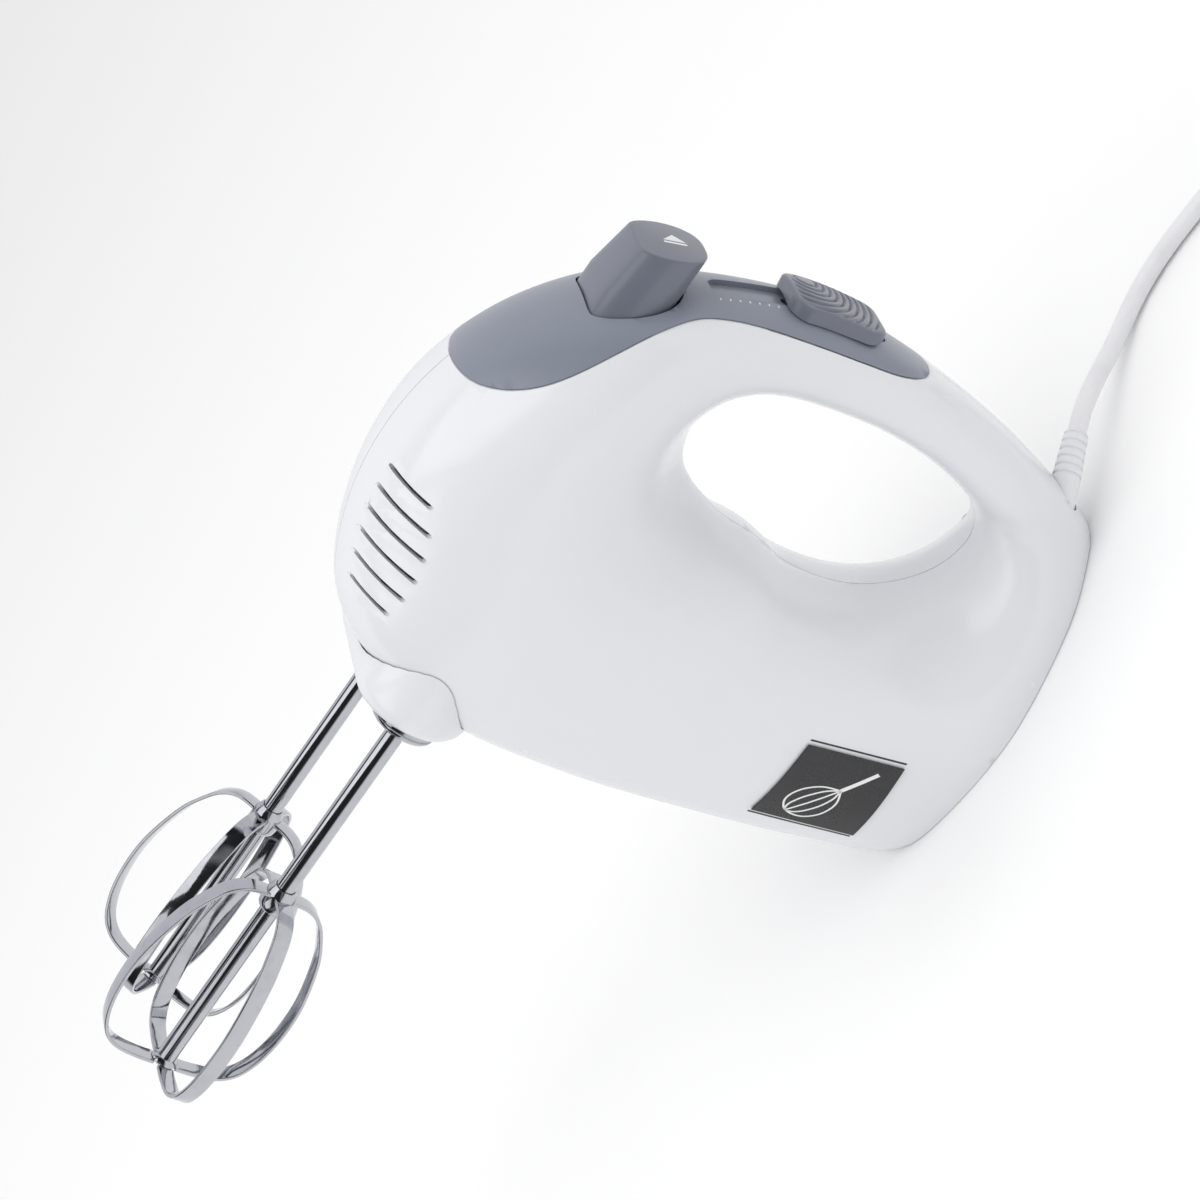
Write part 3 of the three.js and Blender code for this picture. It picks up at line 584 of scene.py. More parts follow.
# ---------------------------------------------------------------- body surface
# The body is a ring round the handle hole. Each station crosses it from the outer outline to the hole:
# outer x, outer z, hole x, hole z, half width, and shares of it at 30, 60, 90, 120 and 150 degrees.
STATIONS = [
    (70, 85, 48, 80, 16.5, 0.62, 0.92, 1, 0.96, 0.64),
    (68, 110.9, 43.5, 105, 18, 0.6, 0.9, 1, 0.95, 0.6),
    (57.7, 139, 37, 116, 24, 0.58, 0.89, 1, 0.86, 0.46),
    (43.6, 162.7, 29, 120, 31, 0.54, 0.88, 1, 0.82, 0.38),
    (19.3, 182.6, 21, 119, 36, 0.49, 0.88, 1, 0.8, 0.34),
    (-10, 190.9, 13.5, 115, 38, 0.56, 0.88, 1, 0.8, 0.32),
    (-42, 188, 9, 109, 39, 0.56, 0.88, 1, 0.82, 0.34),
    (-70, 173, 6, 102, 39.5, 0.62, 0.9, 1, 0.85, 0.4),
    (-81, 142, 4, 94, 39.5, 0.7, 0.93, 1, 0.89, 0.52),
    (-79.5, 104, 3, 82, 39.3, 0.74, 0.95, 1, 0.92, 0.6),
    (-73.5, 66, 0.3, 68.9, 39, 0.74, 0.95, 1, 0.93, 0.6),
    (-65, 26, 2.4, 52.8, 38.6, 0.74, 0.95, 1, 0.93, 0.56),
    (-54.4, -5.3, 8.8, 40.3, 38.3, 0.7, 0.95, 1, 0.92, 0.53),
    (-15.2, -19.5, 19.5, 30.7, 37.6, 0.66, 0.94, 1, 0.85, 0.45),
    (29.7, -10.7, 31.8, 27.9, 27.3, 0.62, 0.93, 1, 0.85, 0.46),
    (50.5, -2.1, 39.5, 32.4, 17, 0.46, 0.84, 1, 0.93, 0.6),
    (60.5, 24, 44, 41, 17.7, 0.62, 0.91, 1, 0.95, 0.62),
    (67, 54, 47.7, 58.2, 16.5, 0.62, 0.92, 1, 0.96, 0.62),
]
WALL = 2.4
GAP = 0.3


def station_at(u):
    first = math.floor(u)
    near = [STATIONS[(first + step) % len(STATIONS)] for step in (-1, 0, 1, 2)]
    return [blend(*values, u - first) for values in zip(*near)]


def share_at(shares, angle):
    knots = [-shares[0], 0, *shares, 0, -shares[4]]
    place = angle / (math.pi / 6)
    first = min(max(math.floor(place), 0), 5)
    return blend(*knots[first:first + 4], place - first)


def section(u, inset, steps):
    outer_x, outer_z, hole_x, hole_z, width, *shares = station_at(u)
    length = math.hypot(hole_x - outer_x, hole_z - outer_z)
    points = []
    for i in range(steps + 1):
        angle = math.pi * i / steps
        after, before = angle + 0.01, angle - 0.01
        run = length * (math.cos(before) - math.cos(after)) / 2
        rise = width * (share_at(shares, min(after, math.pi)) - share_at(shares, max(before, 0)))
        size = math.hypot(run, rise)
        share = (1 - math.cos(angle)) / 2 + inset * rise / size / length
        across = 0 if i in (0, steps) else width * share_at(shares, angle) - inset * run / size
        points.append((outer_x + (hole_x - outer_x) * share, across, outer_z + (hole_z - outer_z) * share))
    return points


def body_form(name, inset, rows=10, steps=32, ease=6):
    """The whole body as one closed ring, moved inwards by inset."""
    points, faces = [], []
    count = len(STATIONS) * rows
    ring = 2 * steps
    for row in range(count):
        half = section(row / rows, inset, steps)
        points += [(x, -y, z) for x, y, z in half]
        points += [(x, y, z) for x, y, z in reversed(half[1:-1])]
        following = (row + 1) % count * ring
        for i in range(ring):
            j = (i + 1) % ring
            faces.append((row * ring + i, following + i, following + j, row * ring + j))
    piece = mesh_piece(name, points, faces)
    edit(piece, outwards)
    if ease:
        modify(piece, "SMOOTH", factor=0.5, iterations=ease)
    return piece


def level_off(piece, height):
    """Cuts away what is below a height and closes the cut."""

    def bisect():
        bpy.ops.mesh.bisect(plane_co=(0, 0, height), plane_no=(0, 0, 1), clear_inner=True, use_fill=True)

    return edit(piece, bisect)


def tree_of(piece):
    return BVHTree.FromObject(piece, bpy.context.evaluated_depsgraph_get())


outer_form = body_form("outer_form", 0)
outer_tree = tree_of(outer_form)


def side_point(x, z, side, lift=0.0):
    """The point of the body's side above (x, z), moved out by lift, and the direction out."""
    place, normal, _, _ = outer_tree.ray_cast(Vector((x, side * 90, z)), Vector((0, -side, 0)))
    return place + normal * lift, normal


# Lower edge of the grey cover seen from the side.
COVER_EDGE = [
    (5.6, 200), (7.5, 188), (12, 180), (21, 171), (37.5, 158.5), (46, 151), (53, 142), (57.5, 132),
    (60.5, 121), (62.8, 107), (64.5, 94), (66.5, 80), (70.5, 68), (80, 60),
]
COVER_OUTLINE = smooth_path(COVER_EDGE, False, 8) + [(95, 60), (95, 200)]
BUTTON_OUTLINE = [
    (8.4, 10.2), (11.8, 9), (14.1, 5.6), (15.2, 1.1), (14.3, -3.8), (11.3, -7.6), (6.4, -9.9),
]
BUTTON_Z = 155.3
BUTTON_FRONT = 10.5
BUTTON_BACK = 10.4
BUTTON_FOOT_X = 38
BUTTON_TAPER = (46, 80)
BUTTON_NARROWED = (0.7, 0.762, -3.2)
BUTTON_TOP = (63.4, 154.5)
BUTTON_LEAN = 0.32
PAD_AT = Vector((69, 0, 104.5))
PAD_FRAME = Matrix.Translation(PAD_AT) @ Matrix.Rotation(-0.14, 4, "Y")
SCREWS = ((30, 18), (-9, 173))
COLLAR_Z = 147
RECESS_DEPTH = 1.5
AXIS_Z = middle_of("beater_left_shaft").z
COLLAR_X = -83.5


def button_outline(grow):
    half = []
    for y, z in BUTTON_OUTLINE:
        size = math.hypot(y, z)
        half.append((y * (size + grow) / size, BUTTON_Z + z * (size + grow) / size))
    front = [(0, BUTTON_Z + BUTTON_FRONT + grow)]
    back = [(0, BUTTON_Z - BUTTON_BACK - grow)]
    return smooth_path(front + half + back + [(-y, z) for y, z in reversed(half)], True, 6)


def stadium(half_length, radius, centre, steps=32):
    points = []
    for side, first in ((1, -90), (-1, 90)):
        for i in range(steps + 1):
            angle = math.radians(first + 180 * i / steps)
            across = side * (half_length - radius) + radius * math.cos(angle)
            points.append((across, centre + radius * math.sin(angle)))
    return points


def stadium_along(half, low, high, corner):
    """A flat outline in (y, z) with rounded corners."""
    points = []
    for cy, cz, first in (
        (half - corner, high - corner, 0), (corner - half, high - corner, 90),
        (corner - half, low + corner, 180), (half - corner, low + corner, 270),
    ):
        for k in range(9):
            a = math.radians(first + 90 * k / 8)
            points.append((cy + corner * math.cos(a), cz + corner * math.sin(a)))
    return points


def vent_places():
    for i in range(6):
        yield -21.8 - 6.6 * i, 170 + 0.5 * (4 - i) ** 2, 189 - 0.32 * i * i


def vent_tools():
    """For each vent a slit, and a lip that slopes into it from the side of the beaters."""
    tools = []
    for x, bottom, top in vent_places():
        for _, side in SIDES:
            far = side * 60
            near = side * 13
            slit = stadium((top - bottom) / 2, 0.8, x, 8)
            outline = [(b, (top + bottom) / 2 + a) for a, b in slit]
            tools.append(prism("slit", outline, min(far, near), max(far, near), "Y"))
            tools.append(vent_lip(x, bottom, top, side))
    return tools


def vent_lip(x, bottom, top, side):
    steps = 14
    points, faces = [], []
    for i in range(steps + 1):
        share = i / steps
        z = bottom + (top - bottom) * share
        fade = max(0.12, math.sin(math.pi * min(max(share, 0.02), 0.98)) ** 0.5)
        edge, normal = side_point(x, z, side)
        low, normal_low = side_point(x - 0.8 - 2.4 * fade, z, side)
        points += [edge + normal * 2, edge - normal * 1.1 * fade]
        points += [low + normal_low * 0.02, low + normal_low * 2]
    for i in range(steps):
        for k in range(4):
            a, b = i * 4 + k, i * 4 + (k + 1) % 4
            faces.append((a, b, b + 4, a + 4))
    faces += [(0, 1, 2, 3), tuple(steps * 4 + k for k in (3, 2, 1, 0))]
    return edit(mesh_piece("lip", points, faces), outwards)


def join(name, pieces):
    only(pieces[0])
    for piece in pieces[1:]:
        piece.select_set(True)
    bpy.ops.object.join()
    pieces[0].name = pieces[0].data.name = name
    return pieces[0]


def make_housing():
    shell = level_off(copy_of(outer_form, "shell"), 0)
    cut(shell, level_off(body_form("inner_form", WALL, 5, 16, 0), WALL))
    for x, z in SCREWS:
        post = rod("post", 5.5, (x, -60, z), (x, 60, z))
        boolean(post, "INTERSECT", body_form("form", 1, 6, 20, 0))
        boolean(shell, "UNION", post)
    cut(shell, prism("cover_room", COVER_OUTLINE, -60, 60, "Y"))
    cut(shell, prism("collar_room", stadium(31.3, 11.3, AXIS_Z), -100, -50, "X"))
    cord_room = rod("cord_room", 4.6, (-12, 0, 0), (20, 0, 0))
    cord_room.data.transform(Matrix.Translation(Vector(CORD_ROUTE[1])) @ Matrix.Rotation(CORD_TURN, 4, "Z"))
    cut(shell, cord_room, block("plate_room", (-20.3, -11.3, -1), (20.3, 11.3, 1.2)))
    for x, z in SCREWS:
        cut(shell, rod("pilot", 1.8, (x, -13, z), (x, 60, z), 24), rod("sink", 3.8, (x, 19, z), (x, 60, z)))
    cut(shell, *vent_tools())
    for name, side in SIDES:
        low, high = (-90, -GAP / 2) if side < 0 else (GAP / 2, 90)
        half = copy_of(shell, f"housing_{name}_shell")
        boolean(half, "INTERSECT", block("side", (-150, low, -10), (150, high, 250)))
        round_edges(half, 0.3)
        soften(half)
        done(half, WHITE, "housing", "white_shell", f"housing_{name}")
    bpy.data.objects.remove(shell)


def make_cover():
    outline = [(x + 0.35, z + 0.15) for x, z in COVER_OUTLINE]
    cover = prism("cover_panel", outline, -60, 60, "Y")
    boolean(cover, "INTERSECT", copy_of(outer_form, "form"))
    cut(cover, body_form("inner_form", WALL, 6, 20, 0))
    cut(cover, prism("button_room", button_outline(0.6), 20, 90, "X"))
    recess = prism("recess", stadium_along(5.5, -17, 34, 3.2), -9, 9, "X")
    recess.data.transform(PAD_FRAME)
    cut(recess, body_form("recess_floor", RECESS_DEPTH, 10, 32))
    slot = prism("slot", stadium_along(2, -14.2, 14.2, 1.9), -9, 3, "X")
    slot.data.transform(PAD_FRAME)
    cut(cover, recess, slot)
    round_edges(cover, 0.35)
    soften(cover)
    return done(cover, GREY, "housing", "grey_controls", "top_cover")


def make_collar():
    collar = prism("collar_skirt", stadium(34, 17.5, COLLAR_Z), COLLAR_X, -58, "X")

    def round_front():
        bpy.ops.mesh.select_all(action="DESELECT")
        bpy.ops.object.mode_set(mode="OBJECT")
        for e in collar.data.edges:
            ends = [collar.data.vertices[i].co.x for i in e.vertices]
            e.select = max(ends) < COLLAR_X + 0.01
        bpy.ops.object.mode_set(mode="EDIT")
        bpy.ops.mesh.bevel(offset=7, segments=9, affect="EDGES")

    edit(collar, round_front)
    cut(collar, body_form("clear_form", -GAP, 10, 32, 4))
    boolean(collar, "UNION", prism("spigot", stadium(31, 11, AXIS_Z), -80, -58, "X"))
    for name, _ in SIDES:
        y = middle_of(f"spindle_{name}").y
        cut(collar, rod("bore", 4.9, (-100, y, AXIS_Z), (-50, y, AXIS_Z)))
        cut(collar, rod("seat", 9.9, (-100, y, AXIS_Z), (COLLAR_X + 3, y, AXIS_Z)))
    round_edges(collar, 0.25)
    soften(collar)
    return done(collar, WHITE, "housing", "white_shell", "nose_collar")


LABEL = [(-30, 51.5), (-24, 22), (-50, 20), (-56, 52)]
# A plain whisk drawn on the label: the direction of its handle, and the half widths of its loops.
WHISK_FROM = (0.14, 0.2)
WHISK_WAY = (0.8, 0.6)
WHISK_LOOPS = (0.21, 0.1)


def whisk_place(along, across):
    return (WHISK_FROM[0] + WHISK_WAY[0] * along - WHISK_WAY[1] * across,
            WHISK_FROM[1] + WHISK_WAY[1] * along + WHISK_WAY[0] * across)


# Heights above the body: the badge's underside and face, and the top of what is printed on it.
BADGE = (0.3, 0.8)
INK_TOP = 0.86
STROKE = 0.018


def label_point(u, v, side=-1, lift=0.0):
    """A place on the label's four-sided area: u towards the beaters and v towards the nose, from 0 to 1."""
    (ax, az), (bx, bz), (cx, cz), (dx, dz) = LABEL
    x = (bx * (1 - u) + cx * u) * (1 - v) + (ax * (1 - u) + dx * u) * v
    z = (bz * (1 - u) + cz * u) * (1 - v) + (az * (1 - u) + dz * u) * v
    return side_point(x, z, side, lift)[0]


def sheet_on_side(name, places, low, high):
    """A thin plate that follows the side: places is a grid of (u, v)."""
    rows, columns = len(places), len(places[0])
    points = [label_point(u, v, lift=lift) for lift in (low, high) for row in places for u, v in row]
    half = rows * columns
    faces = []
    for i in range(rows - 1):
        for j in range(columns - 1):
            a = i * columns + j
            faces.append((a, a + columns, a + columns + 1, a + 1))
            faces.append((half + a, half + a + 1, half + a + columns + 1, half + a + columns))
    rim = [j for j in range(columns)] + [i * columns + columns - 1 for i in range(1, rows)]
    rim += [(rows - 1) * columns + j for j in range(columns - 2, -1, -1)]
    rim += [i * columns for i in range(rows - 2, 0, -1)]
    for a, b in zip(rim, rim[1:] + rim[:1]):
        faces.append((a, b, half + b, half + a))
    return edit(mesh_piece(name, points, faces), outwards)


def ribbon(name, path, widths, low, high):
    """A printed stroke along a path of (u, v) with its own width at each point."""
    grid = []
    for i, (u, v) in enumerate(path):
        before, after = path[max(i - 1, 0)], path[min(i + 1, len(path) - 1)]
        du, dv = (after[0] - before[0]), (after[1] - before[1])
        size = math.hypot(du, dv) or 1
        w = widths[i] / 2
        grid.append([(u - dv / size * w, v + du / size * w), (u + dv / size * w, v - du / size * w)])
    return sheet_on_side(name, grid, low, high)


def make_label():
    grid = [[(i / 20, j / 20) for j in range(21)] for i in range(21)]
    plate = sheet_on_side("label_badge", grid, *BADGE)
    round_edges(plate, 0.12, 1, 50)
    soften(plate)
    done(plate, BLACK, "housing", "label", "label_plate")
    face = BADGE[1]
    grip = [whisk_place(0.38 * i / 10, 0) for i in range(11)]
    middle = [whisk_place(0.38 + 0.053 * i, 0) for i in range(11)]
    strokes = [ribbon("grip", grip, [2.5 * STROKE] * 11, face, INK_TOP)]
    for width in WHISK_LOOPS:
        half = [(0.38, 0), (0.5, width * 0.7), (0.68, width), (0.84, width * 0.75), (0.91, 0)]
        loop = half + [(along, -across) for along, across in reversed(half[:-1])]
        path = smooth_path([whisk_place(*place) for place in loop], False, 12)
        strokes.append(ribbon("loop", path, [STROKE] * len(path), face, INK_TOP))
    strokes.append(ribbon("middle", middle, [STROKE] * 11, face, INK_TOP))
    whisk = join("label_whisk", strokes)
    soften(whisk)
    done(whisk, INK, "housing", "label")
    lines = []
    for u in (-0.05, 1.05):
        lines.append(ribbon("line", [(u, i / 20) for i in range(21)], [0.022] * 21, 0.005, 0.05))
    soften(join("label_lines", lines))
    done(lines[0], BLACK, "housing", "label")


def make_button():
    low, high = BUTTON_TAPER
    button = prism("button_cap", button_outline(0), BUTTON_FOOT_X, high, "X")

    def waist():
        bpy.ops.mesh.bisect(plane_co=(low, 0, 0), plane_no=(1, 0, 0))

    edit(button, waist)
    narrow_y, narrow_z, shift_z = BUTTON_NARROWED
    for v in button.data.vertices:
        if v.co.x > high - 1:
            v.co.y *= narrow_y
            v.co.z = BUTTON_Z + (v.co.z - BUTTON_Z) * narrow_z + shift_z
    normal = (math.cos(BUTTON_LEAN), 0, math.sin(BUTTON_LEAN))

    def slope():
        bpy.ops.mesh.bisect(
            plane_co=(BUTTON_TOP[0], 0, BUTTON_TOP[1]), plane_no=normal, clear_outer=True, use_fill=True)

    edit(button, slope)
    round_edges(button, 0.7, 4, 50)
    soften(button, 50)
    done(button, BUTTON_GREY, "eject", "grey_controls", "eject_button")
    # A plain release mark, an arrow head over a bar, printed on the sloping top.
    marks = []
    middle_of_top = Matrix.Translation((BUTTON_TOP[0], 0, BUTTON_TOP[1]))
    on_top = middle_of_top @ Matrix.Rotation(-BUTTON_LEAN, 4, "Y") @ Matrix.Translation((0, 1.5, -2))
    arrow = prism("arrow", [(-3.2, -0.6), (3.2, -0.6), (0, 3.4)], -0.02, 0.04, "X")
    bar = prism("bar", [(-3.2, -2.4), (3.2, -2.4), (3.2, -1.4), (-3.2, -1.4)], -0.02, 0.04, "X")
    for mark in (arrow, bar):
        mark.data.transform(on_top @ Matrix.Rotation(math.radians(-90), 4, "X"))
        marks.append(mark)
    join("button_mark", marks)
    done(marks[0], INK, "eject", "label")


PAD_HALF = (11.5, 14.5)
PAD_CORNER = 6
PAD_STANDS = 4.2  # most that the pad stands above the cover
PAD_LEVEL = 3.3  # height of its flat top at its middle
PAD_RISE = 0.07  # slope of the flat top
PAD_EDGE = 0.8  # rounding of its upper edge
PAD_CLEAR = 0.5
PAD_TRAVEL = 16
RINGS_AT = (6, 8)
RING_PITCH = 2.1


def pad_edge():
    """The pad's outline across (y) and along (z) the handle."""
    side, end = PAD_HALF
    corner = PAD_CORNER
    points = []
    for cy, cz, first in (
        (side - corner, end - corner, 0), (corner - side, end - corner, 90),
        (corner - side, corner - end, 180), (side - corner, corner - end, 270),
    ):
        for k in range(24):
            a = math.radians(first + 90 * k / 24)
            points.append((cy + corner * math.cos(a), cz + corner * math.sin(a)))
    dense = []
    for (ay, az), (by, bz) in zip(points, points[1:] + points[:1]):
        parts = max(1, round(math.hypot(by - ay, bz - az) / 0.5))
        dense += [(ay + (by - ay) * i / parts, az + (bz - az) * i / parts) for i in range(parts)]
    return dense


def groove(distance, width):
    return math.exp(-((distance / width) ** 2))


def pad_cut(y, z, inside):
    """Depth of the finger grip's ring grooves at a place; inside is the distance from the outline."""
    away = math.hypot((y - RINGS_AT[0]) * 0.85, z - RINGS_AT[1])
    past_ring = (away - 3.2) % RING_PITCH
    deep = groove(min(past_ring, RING_PITCH - past_ring), 0.36)
    deep *= min(1.0, max(0.0, inside - 1.1)) * min(1.0, max(0.0, away - 1.5))
    return 0.7 * deep


def make_pad():
    edge = pad_edge()
    inverse = PAD_FRAME.inverted()
    way = PAD_FRAME.to_3x3() @ Vector((-1, 0, 0))
    reach_in = PAD_HALF[0]

    def surface(y, z):
        place, _, _, _ = outer_tree.ray_cast(PAD_FRAME @ Vector((30, y, z)), way)
        return (inverse @ place).x

    def underside(y, z):
        """Clear of the cover wherever the pad slides to."""
        return max(surface(y, z + PAD_TRAVEL * i / 4) for i in range(5)) + PAD_CLEAR

    def top(y, z, inside):
        low = surface(y, z) + PAD_STANDS
        flat = PAD_LEVEL + PAD_RISE * z
        height = (low + flat - math.sqrt((low - flat) ** 2 + 0.3)) / 2
        if inside < PAD_EDGE:
            height -= PAD_EDGE - math.sqrt(max(0.0, PAD_EDGE ** 2 - (PAD_EDGE - inside) ** 2))
        return height - pad_cut(y, z, inside)

    shares = [0, 0.004, 0.012, 0.025, 0.045, 0.07, 0.1] + [0.1 + 0.9 * i / 60 for i in range(1, 60)]
    count = len(edge)
    points = []
    for share in shares:
        for y, z in edge:
            k = 1 - share
            inside = share * min(reach_in, math.hypot(y, z))
            points.append((top(y * k, z * k, inside), y * k, z * k))
    centre_top = len(points)
    points.append((top(0, 0, reach_in), 0, 0))
    bottom_start = len(points)
    for y, z in edge:
        points.append((underside(y, z), y, z))
    bottom_inner = len(points)
    for y, z in edge:
        points.append((underside(y * 0.5, z * 0.5), y * 0.5, z * 0.5))
    centre_bottom = len(points)
    points.append((underside(0, 0), 0, 0))
    faces = []
    for i in range(count):
        j = (i + 1) % count
        for ring in range(len(shares) - 1):
            a = ring * count
            faces.append((a + i, a + j, a + count + j, a + count + i))
        last = (len(shares) - 1) * count
        faces.append((last + i, last + j, centre_top))
        faces.append((i, bottom_start + i, bottom_start + j, j))
        faces.append((bottom_start + i, bottom_inner + i, bottom_inner + j, bottom_start + j))
        faces.append((bottom_inner + i, centre_bottom, bottom_inner + j))
    pad = mesh_piece("speed_pad", points, faces)
    edit(pad, outwards)
    stem = block("stem", (-8, -1.6, -13.5), (1.2, 1.6, -2.5))
    carriage = block("carriage", (-11.6, -5, -15), (-7.5, 5, -1))
    boolean(pad, "UNION", stem)
    boolean(pad, "UNION", carriage)
    pad.data.transform(PAD_FRAME)
    soften(pad, 50)
    done(pad, BUTTON_GREY, "speed", "grey_controls", "speed_slider")
    ticks = []
    for i in range(7):
        z = 16.8 + i * 2.6
        points = []
        for lift in (0.0, 0.04):
            for y, dz in ((-6.4, -0.16), (-7.3, -0.16), (-7.3, 0.16), (-6.4, 0.16)):
                points.append((surface(y, z + dz) + lift, y, z + dz))
        faces = [(3, 2, 1, 0), (4, 5, 6, 7), (0, 1, 5, 4), (1, 2, 6, 5), (2, 3, 7, 6), (3, 0, 4, 7)]
        tick = edit(mesh_piece("tick", points, faces), outwards)
        tick.data.transform(PAD_FRAME)
        ticks.append(tick)
    join("speed_marks", ticks)
    done(ticks[0], INK, "housing", "label")


# ---------------------------------------------------------------- beaters
# One wing: places along the beater from its hub, and radius.
WING = [
    (2.5, 0), (2.3, 9), (-0.5, 14.5), (-6, 18.6), (-15, 22.8), (-31, 26.4), (-46, 26.2), (-56.5, 23),
    (-61.5, 17.5), (-63, 9), (-63, 0),
]
STRIP_WIDTH = 5.2
STRIP_THICK = 1.1
TURNS = {"left": 0.084 + math.pi, "right": -0.66}


def wing_strip():
    """A flat strip bent to the wing's bow, lying in the X-Y plane with its width along Z."""
    path = [p for p in smooth_path(WING, False, 9) if p[1] >= 3.2]
    points, faces = [], []
    half = STRIP_WIDTH / 2
    for i, (x, r) in enumerate(path):
        before, after = path[max(i - 1, 0)], path[min(i + 1, len(path) - 1)]
        dx, dr = after[0] - before[0], after[1] - before[1]
        size = math.hypot(dx, dr)
        inner = (x - dr / size * STRIP_THICK, r + dx / size * STRIP_THICK)
        points += [(x, r, -half), (x, r, half), (*inner, half), (*inner, -half)]
    for i in range(len(path) - 1):
        for k in range(4):
            a, b = i * 4 + k, i * 4 + (k + 1) % 4
            faces.append((a, b, b + 4, a + 4))
    end = (len(path) - 1) * 4
    faces += [(0, 3, 2, 1), (end, end + 1, end + 2, end + 3)]
    strip = edit(mesh_piece("wing", points, faces), outwards)
    round_edges(strip, 0.28, 3, 50)
    soften(strip, 40)
    return strip


def make_beaters():
    strip = wing_strip()
    for name, _ in SIDES:
        beater = f"beater_{name}"
        low, high = span_of(f"{beater}_shaft")
        y, z = (low.y + high.y) / 2, (low.z + high.z) / 2
        tip, top = low.x, high.x
        profile = [
            (0, 0), (0, 2.6), (0.35, 3.5), (1.2, 4.1), (2, 3.7), (2.6, 2.9), (top - tip - 2, 2.9),
            (top - tip - 0.4, 1.9), (top - tip, 1.4), (top - tip, 0),
        ]
        shaft = turned(f"{beater}_rod", profile, (tip, y, z))
        soften(shaft, 40)
        done(shaft, CHROME, beater, "chrome", f"{beater}_shaft")
        a, b = span_of(f"{beater}_hub")
        profile = [
            (0, 3.1), (0, 3.9), (0.8, 4.5), (2, 4.7), (5, 4.7), (6.6, 4.2),
            (b.x - a.x, 3.5), (b.x - a.x, 3.1), (0, 3.1),
        ]
        hub = turned(f"{beater}_boss", profile, (a.x, y, z))
        soften(hub, 40)
        done(hub, CHROME, beater, "chrome", f"{beater}_hub")
        for i in range(4):
            wing = copy_of(strip, f"{beater}_strip_{i + 1}")
            turn = Matrix.Rotation(TURNS[name] + i * math.pi / 2, 4, "X")
            wing.data.transform(Matrix.Translation((-151, y, z)) @ turn)
            done(wing, CHROME, beater, "chrome", f"{beater}_wing_{i + 1}")
        a, b = span_of(f"socket_ring_{name}")
        long = b.x - a.x
        profile = [
            (0, 4.9), (0, 7.2), (0.3, 8.3), (0.9, 9.1), (1.5, 9.5), (2, 9.6), (2.4, 9.2), (2.8, 9.2),
            (3.1, 9.6), (long, 9.6), (long, 4.9), (0, 4.9),
        ]
        ring = turned(f"socket_{name}_bezel", profile, (a.x, y, z))
        soften(ring, 40)
        done(ring, CHROME, "housing", "chrome", f"socket_ring_{name}")
        a, b = span_of(f"spindle_{name}")
        long = b.x - a.x
        profile = [(0, 3.6), (0, 4.2), (0.4, 4.6), (long, 4.6), (long, 3.2), (0.5, 3.2), (0, 3.6)]
        spindle = turned(f"spindle_{name}_tube", profile, (a.x, y, z))
        soften(spindle, 40)
        done(spindle, STEEL, f"spindle_{name}", "zinc_steel", f"spindle_{name}")
    bpy.data.objects.remove(strip)


def make_screws():
    for i, (x, z) in enumerate(SCREWS):
        low, high = span_of(f"housing_screw_{i + 1}")
        head = high.y - 2.5
        profile = [
            (low.y, 0), (low.y + 2, 1.5), (head - 1, 1.5), (head, 3.4), (head + 1.2, 3.35), (head + 2, 2.7),
            (high.y, 1.2), (high.y, 0),
        ]
        screw = turned(f"screw_{i + 1}", profile, (x, 0, z), "Y", 40)
        for turn in (0, math.pi / 2):
            blade = block("blade", (-2, high.y - 1.6, -0.45), (2, high.y + 1, 0.45))
            place = Matrix.Translation((x, 0, z)) @ Matrix.Rotation(turn + 0.4 + i, 4, "Y")
            blade.data.transform(place)
            cut(screw, blade)
        soften(screw, 35)
        done(screw, STEEL, "housing", "zinc_steel", f"housing_screw_{i + 1}")


make_housing()
make_cover()
make_collar()
make_label()
make_button()
make_pad()
make_beaters()
make_screws()
bpy.data.objects.remove(outer_form)

# ---------------------------------------------------------------- finishes of the inner CAD nodes
INNER = {
    NYLON: ("eject_yoke", "cooling_fan", "brush_holder_left", "brush_holder_right", "worm_wheel_left",
            "worm_wheel_right", "gear_plate", "nose_block"),
    STEEL: ("eject_spring", "motor_shaft", "worm", "bracket_rear", "bracket_front", "motor_bolt_1",
            "motor_bolt_2"),
    LAMINATE: ("motor_core", "armature_core"),
    COPPER: ("field_coil_left", "field_coil_right", "winding_rear", "winding_front", "commutator"),
    BRONZE: ("bearing_rear", "bearing_front"),
    CARBON: ("brush_left", "brush_right"),
    SWITCH_BLACK: ("speed_switch",),
    FOIL: ("rating_plate",),
}
for material, names in INNER.items():
    for node_name in names:
        node = NODES[node_name]
        for place in node.material_slots:
            place.link = "OBJECT"
            place.material = material


# ---------------------------------------------------------------- floor and light
def make_floor():
    f = Finish("pale_floor", (0.97, 0.97, 0.97), 0.7)
    f.tint((0.95, 0.95, 0.955), f.grain(3) * 0.5)
    f.rough(0.55 + f.grain(40) * 0.1)
    only_nothing()
    bpy.ops.mesh.primitive_plane_add(size=8, location=(0, 0, -0.0002))
    floor = placed("floor")
    floor.data.materials.append(f.material)


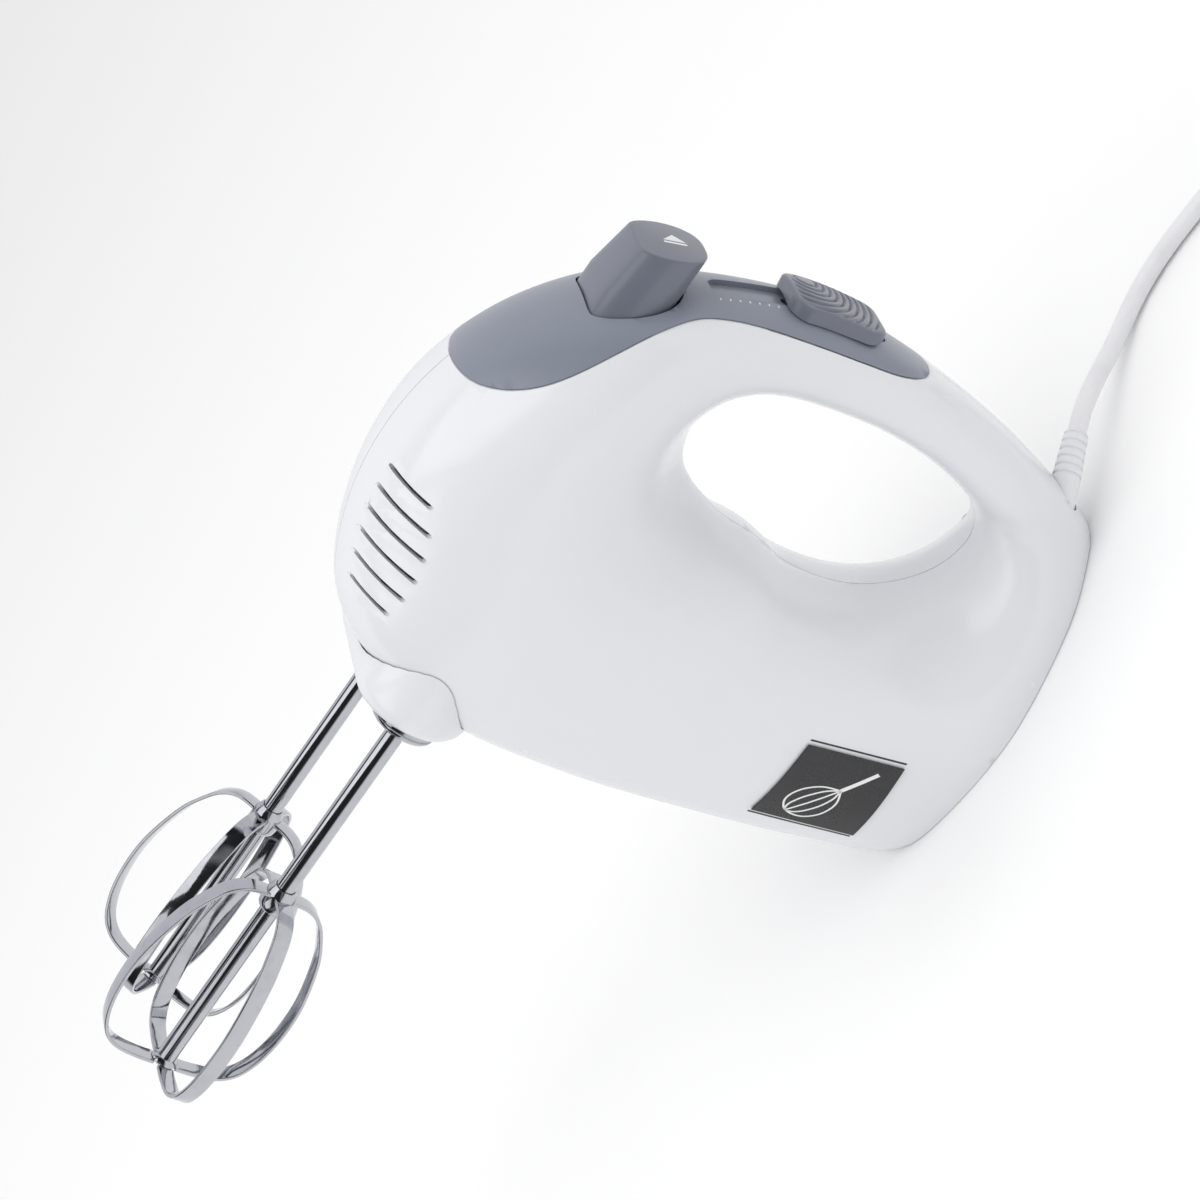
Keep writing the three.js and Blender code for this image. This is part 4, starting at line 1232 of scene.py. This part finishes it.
def softbox(name, place, target, size, power):
    data = bpy.data.lights.new(name, "AREA")
    data.shape = "RECTANGLE"
    data.size, data.size_y = size
    data.energy = power
    lamp = bpy.data.objects.new(name, data)
    bpy.context.scene.collection.objects.link(lamp)
    lamp.location = place
    lamp.rotation_mode = "QUATERNION"
    lamp.rotation_quaternion = (Vector(target) - Vector(place)).to_track_quat("-Z", "Y")


WORLD_STRENGTH = 0.84
DARK_WAY = (-0.1, -0.8, 0.6)
# Greys from the side away from DARK_WAY towards it, with one lighter streak.
DARK_STOPS = ((0.08, 1.0), (0.24, 0.02), (0.72, 0.03), (0.8, 0.3), (0.88, 0.03))


def make_world():
    """White studio. Only mirrored rays see its dark half, which draws the lines on bright metal."""
    world = bpy.data.worlds.new("studio")
    bpy.context.scene.world = world
    world.use_nodes = True
    nodes, links = world.node_tree.nodes, world.node_tree.links
    place = nodes.new("ShaderNodeTexCoord")
    dot = nodes.new("ShaderNodeVectorMath")
    dot.operation = "DOT_PRODUCT"
    dot.inputs[1].default_value = Vector(DARK_WAY).normalized()
    links.new(place.outputs["Generated"], dot.inputs[0])
    ramp = nodes.new("ShaderNodeValToRGB")
    stops = ramp.color_ramp.elements
    for i, (position, grey) in enumerate(DARK_STOPS):
        stop = stops[i] if i < 2 else stops.new(position)
        stop.position = position
        stop.color = (grey, grey, grey * 1.05, 1)
    links.new(dot.outputs["Value"], ramp.inputs[0])
    dark = nodes.new("ShaderNodeBackground")
    links.new(ramp.outputs[0], dark.inputs["Color"])
    dark.inputs["Strength"].default_value = WORLD_STRENGTH
    plain = nodes["Background"]
    plain.inputs["Color"].default_value = (1, 1, 1, 1)
    plain.inputs["Strength"].default_value = WORLD_STRENGTH
    path = nodes.new("ShaderNodeLightPath")
    mix = nodes.new("ShaderNodeMixShader")
    links.new(path.outputs["Is Glossy Ray"], mix.inputs[0])
    links.new(plain.outputs[0], mix.inputs[1])
    links.new(dark.outputs[0], mix.inputs[2])
    links.new(mix.outputs[0], nodes["World Output"].inputs["Surface"])
make_floor()
make_world()
softbox("top_box", (0.1, -0.2, 1.5), (0, 0, 0.1), (1.2, 1.2), 6)
softbox("nose_box", (-0.9, -0.6, 1.1), (0, 0, 0.1), (0.8, 0.8), 2)
bpy.context.scene.view_settings.view_transform = "Standard"
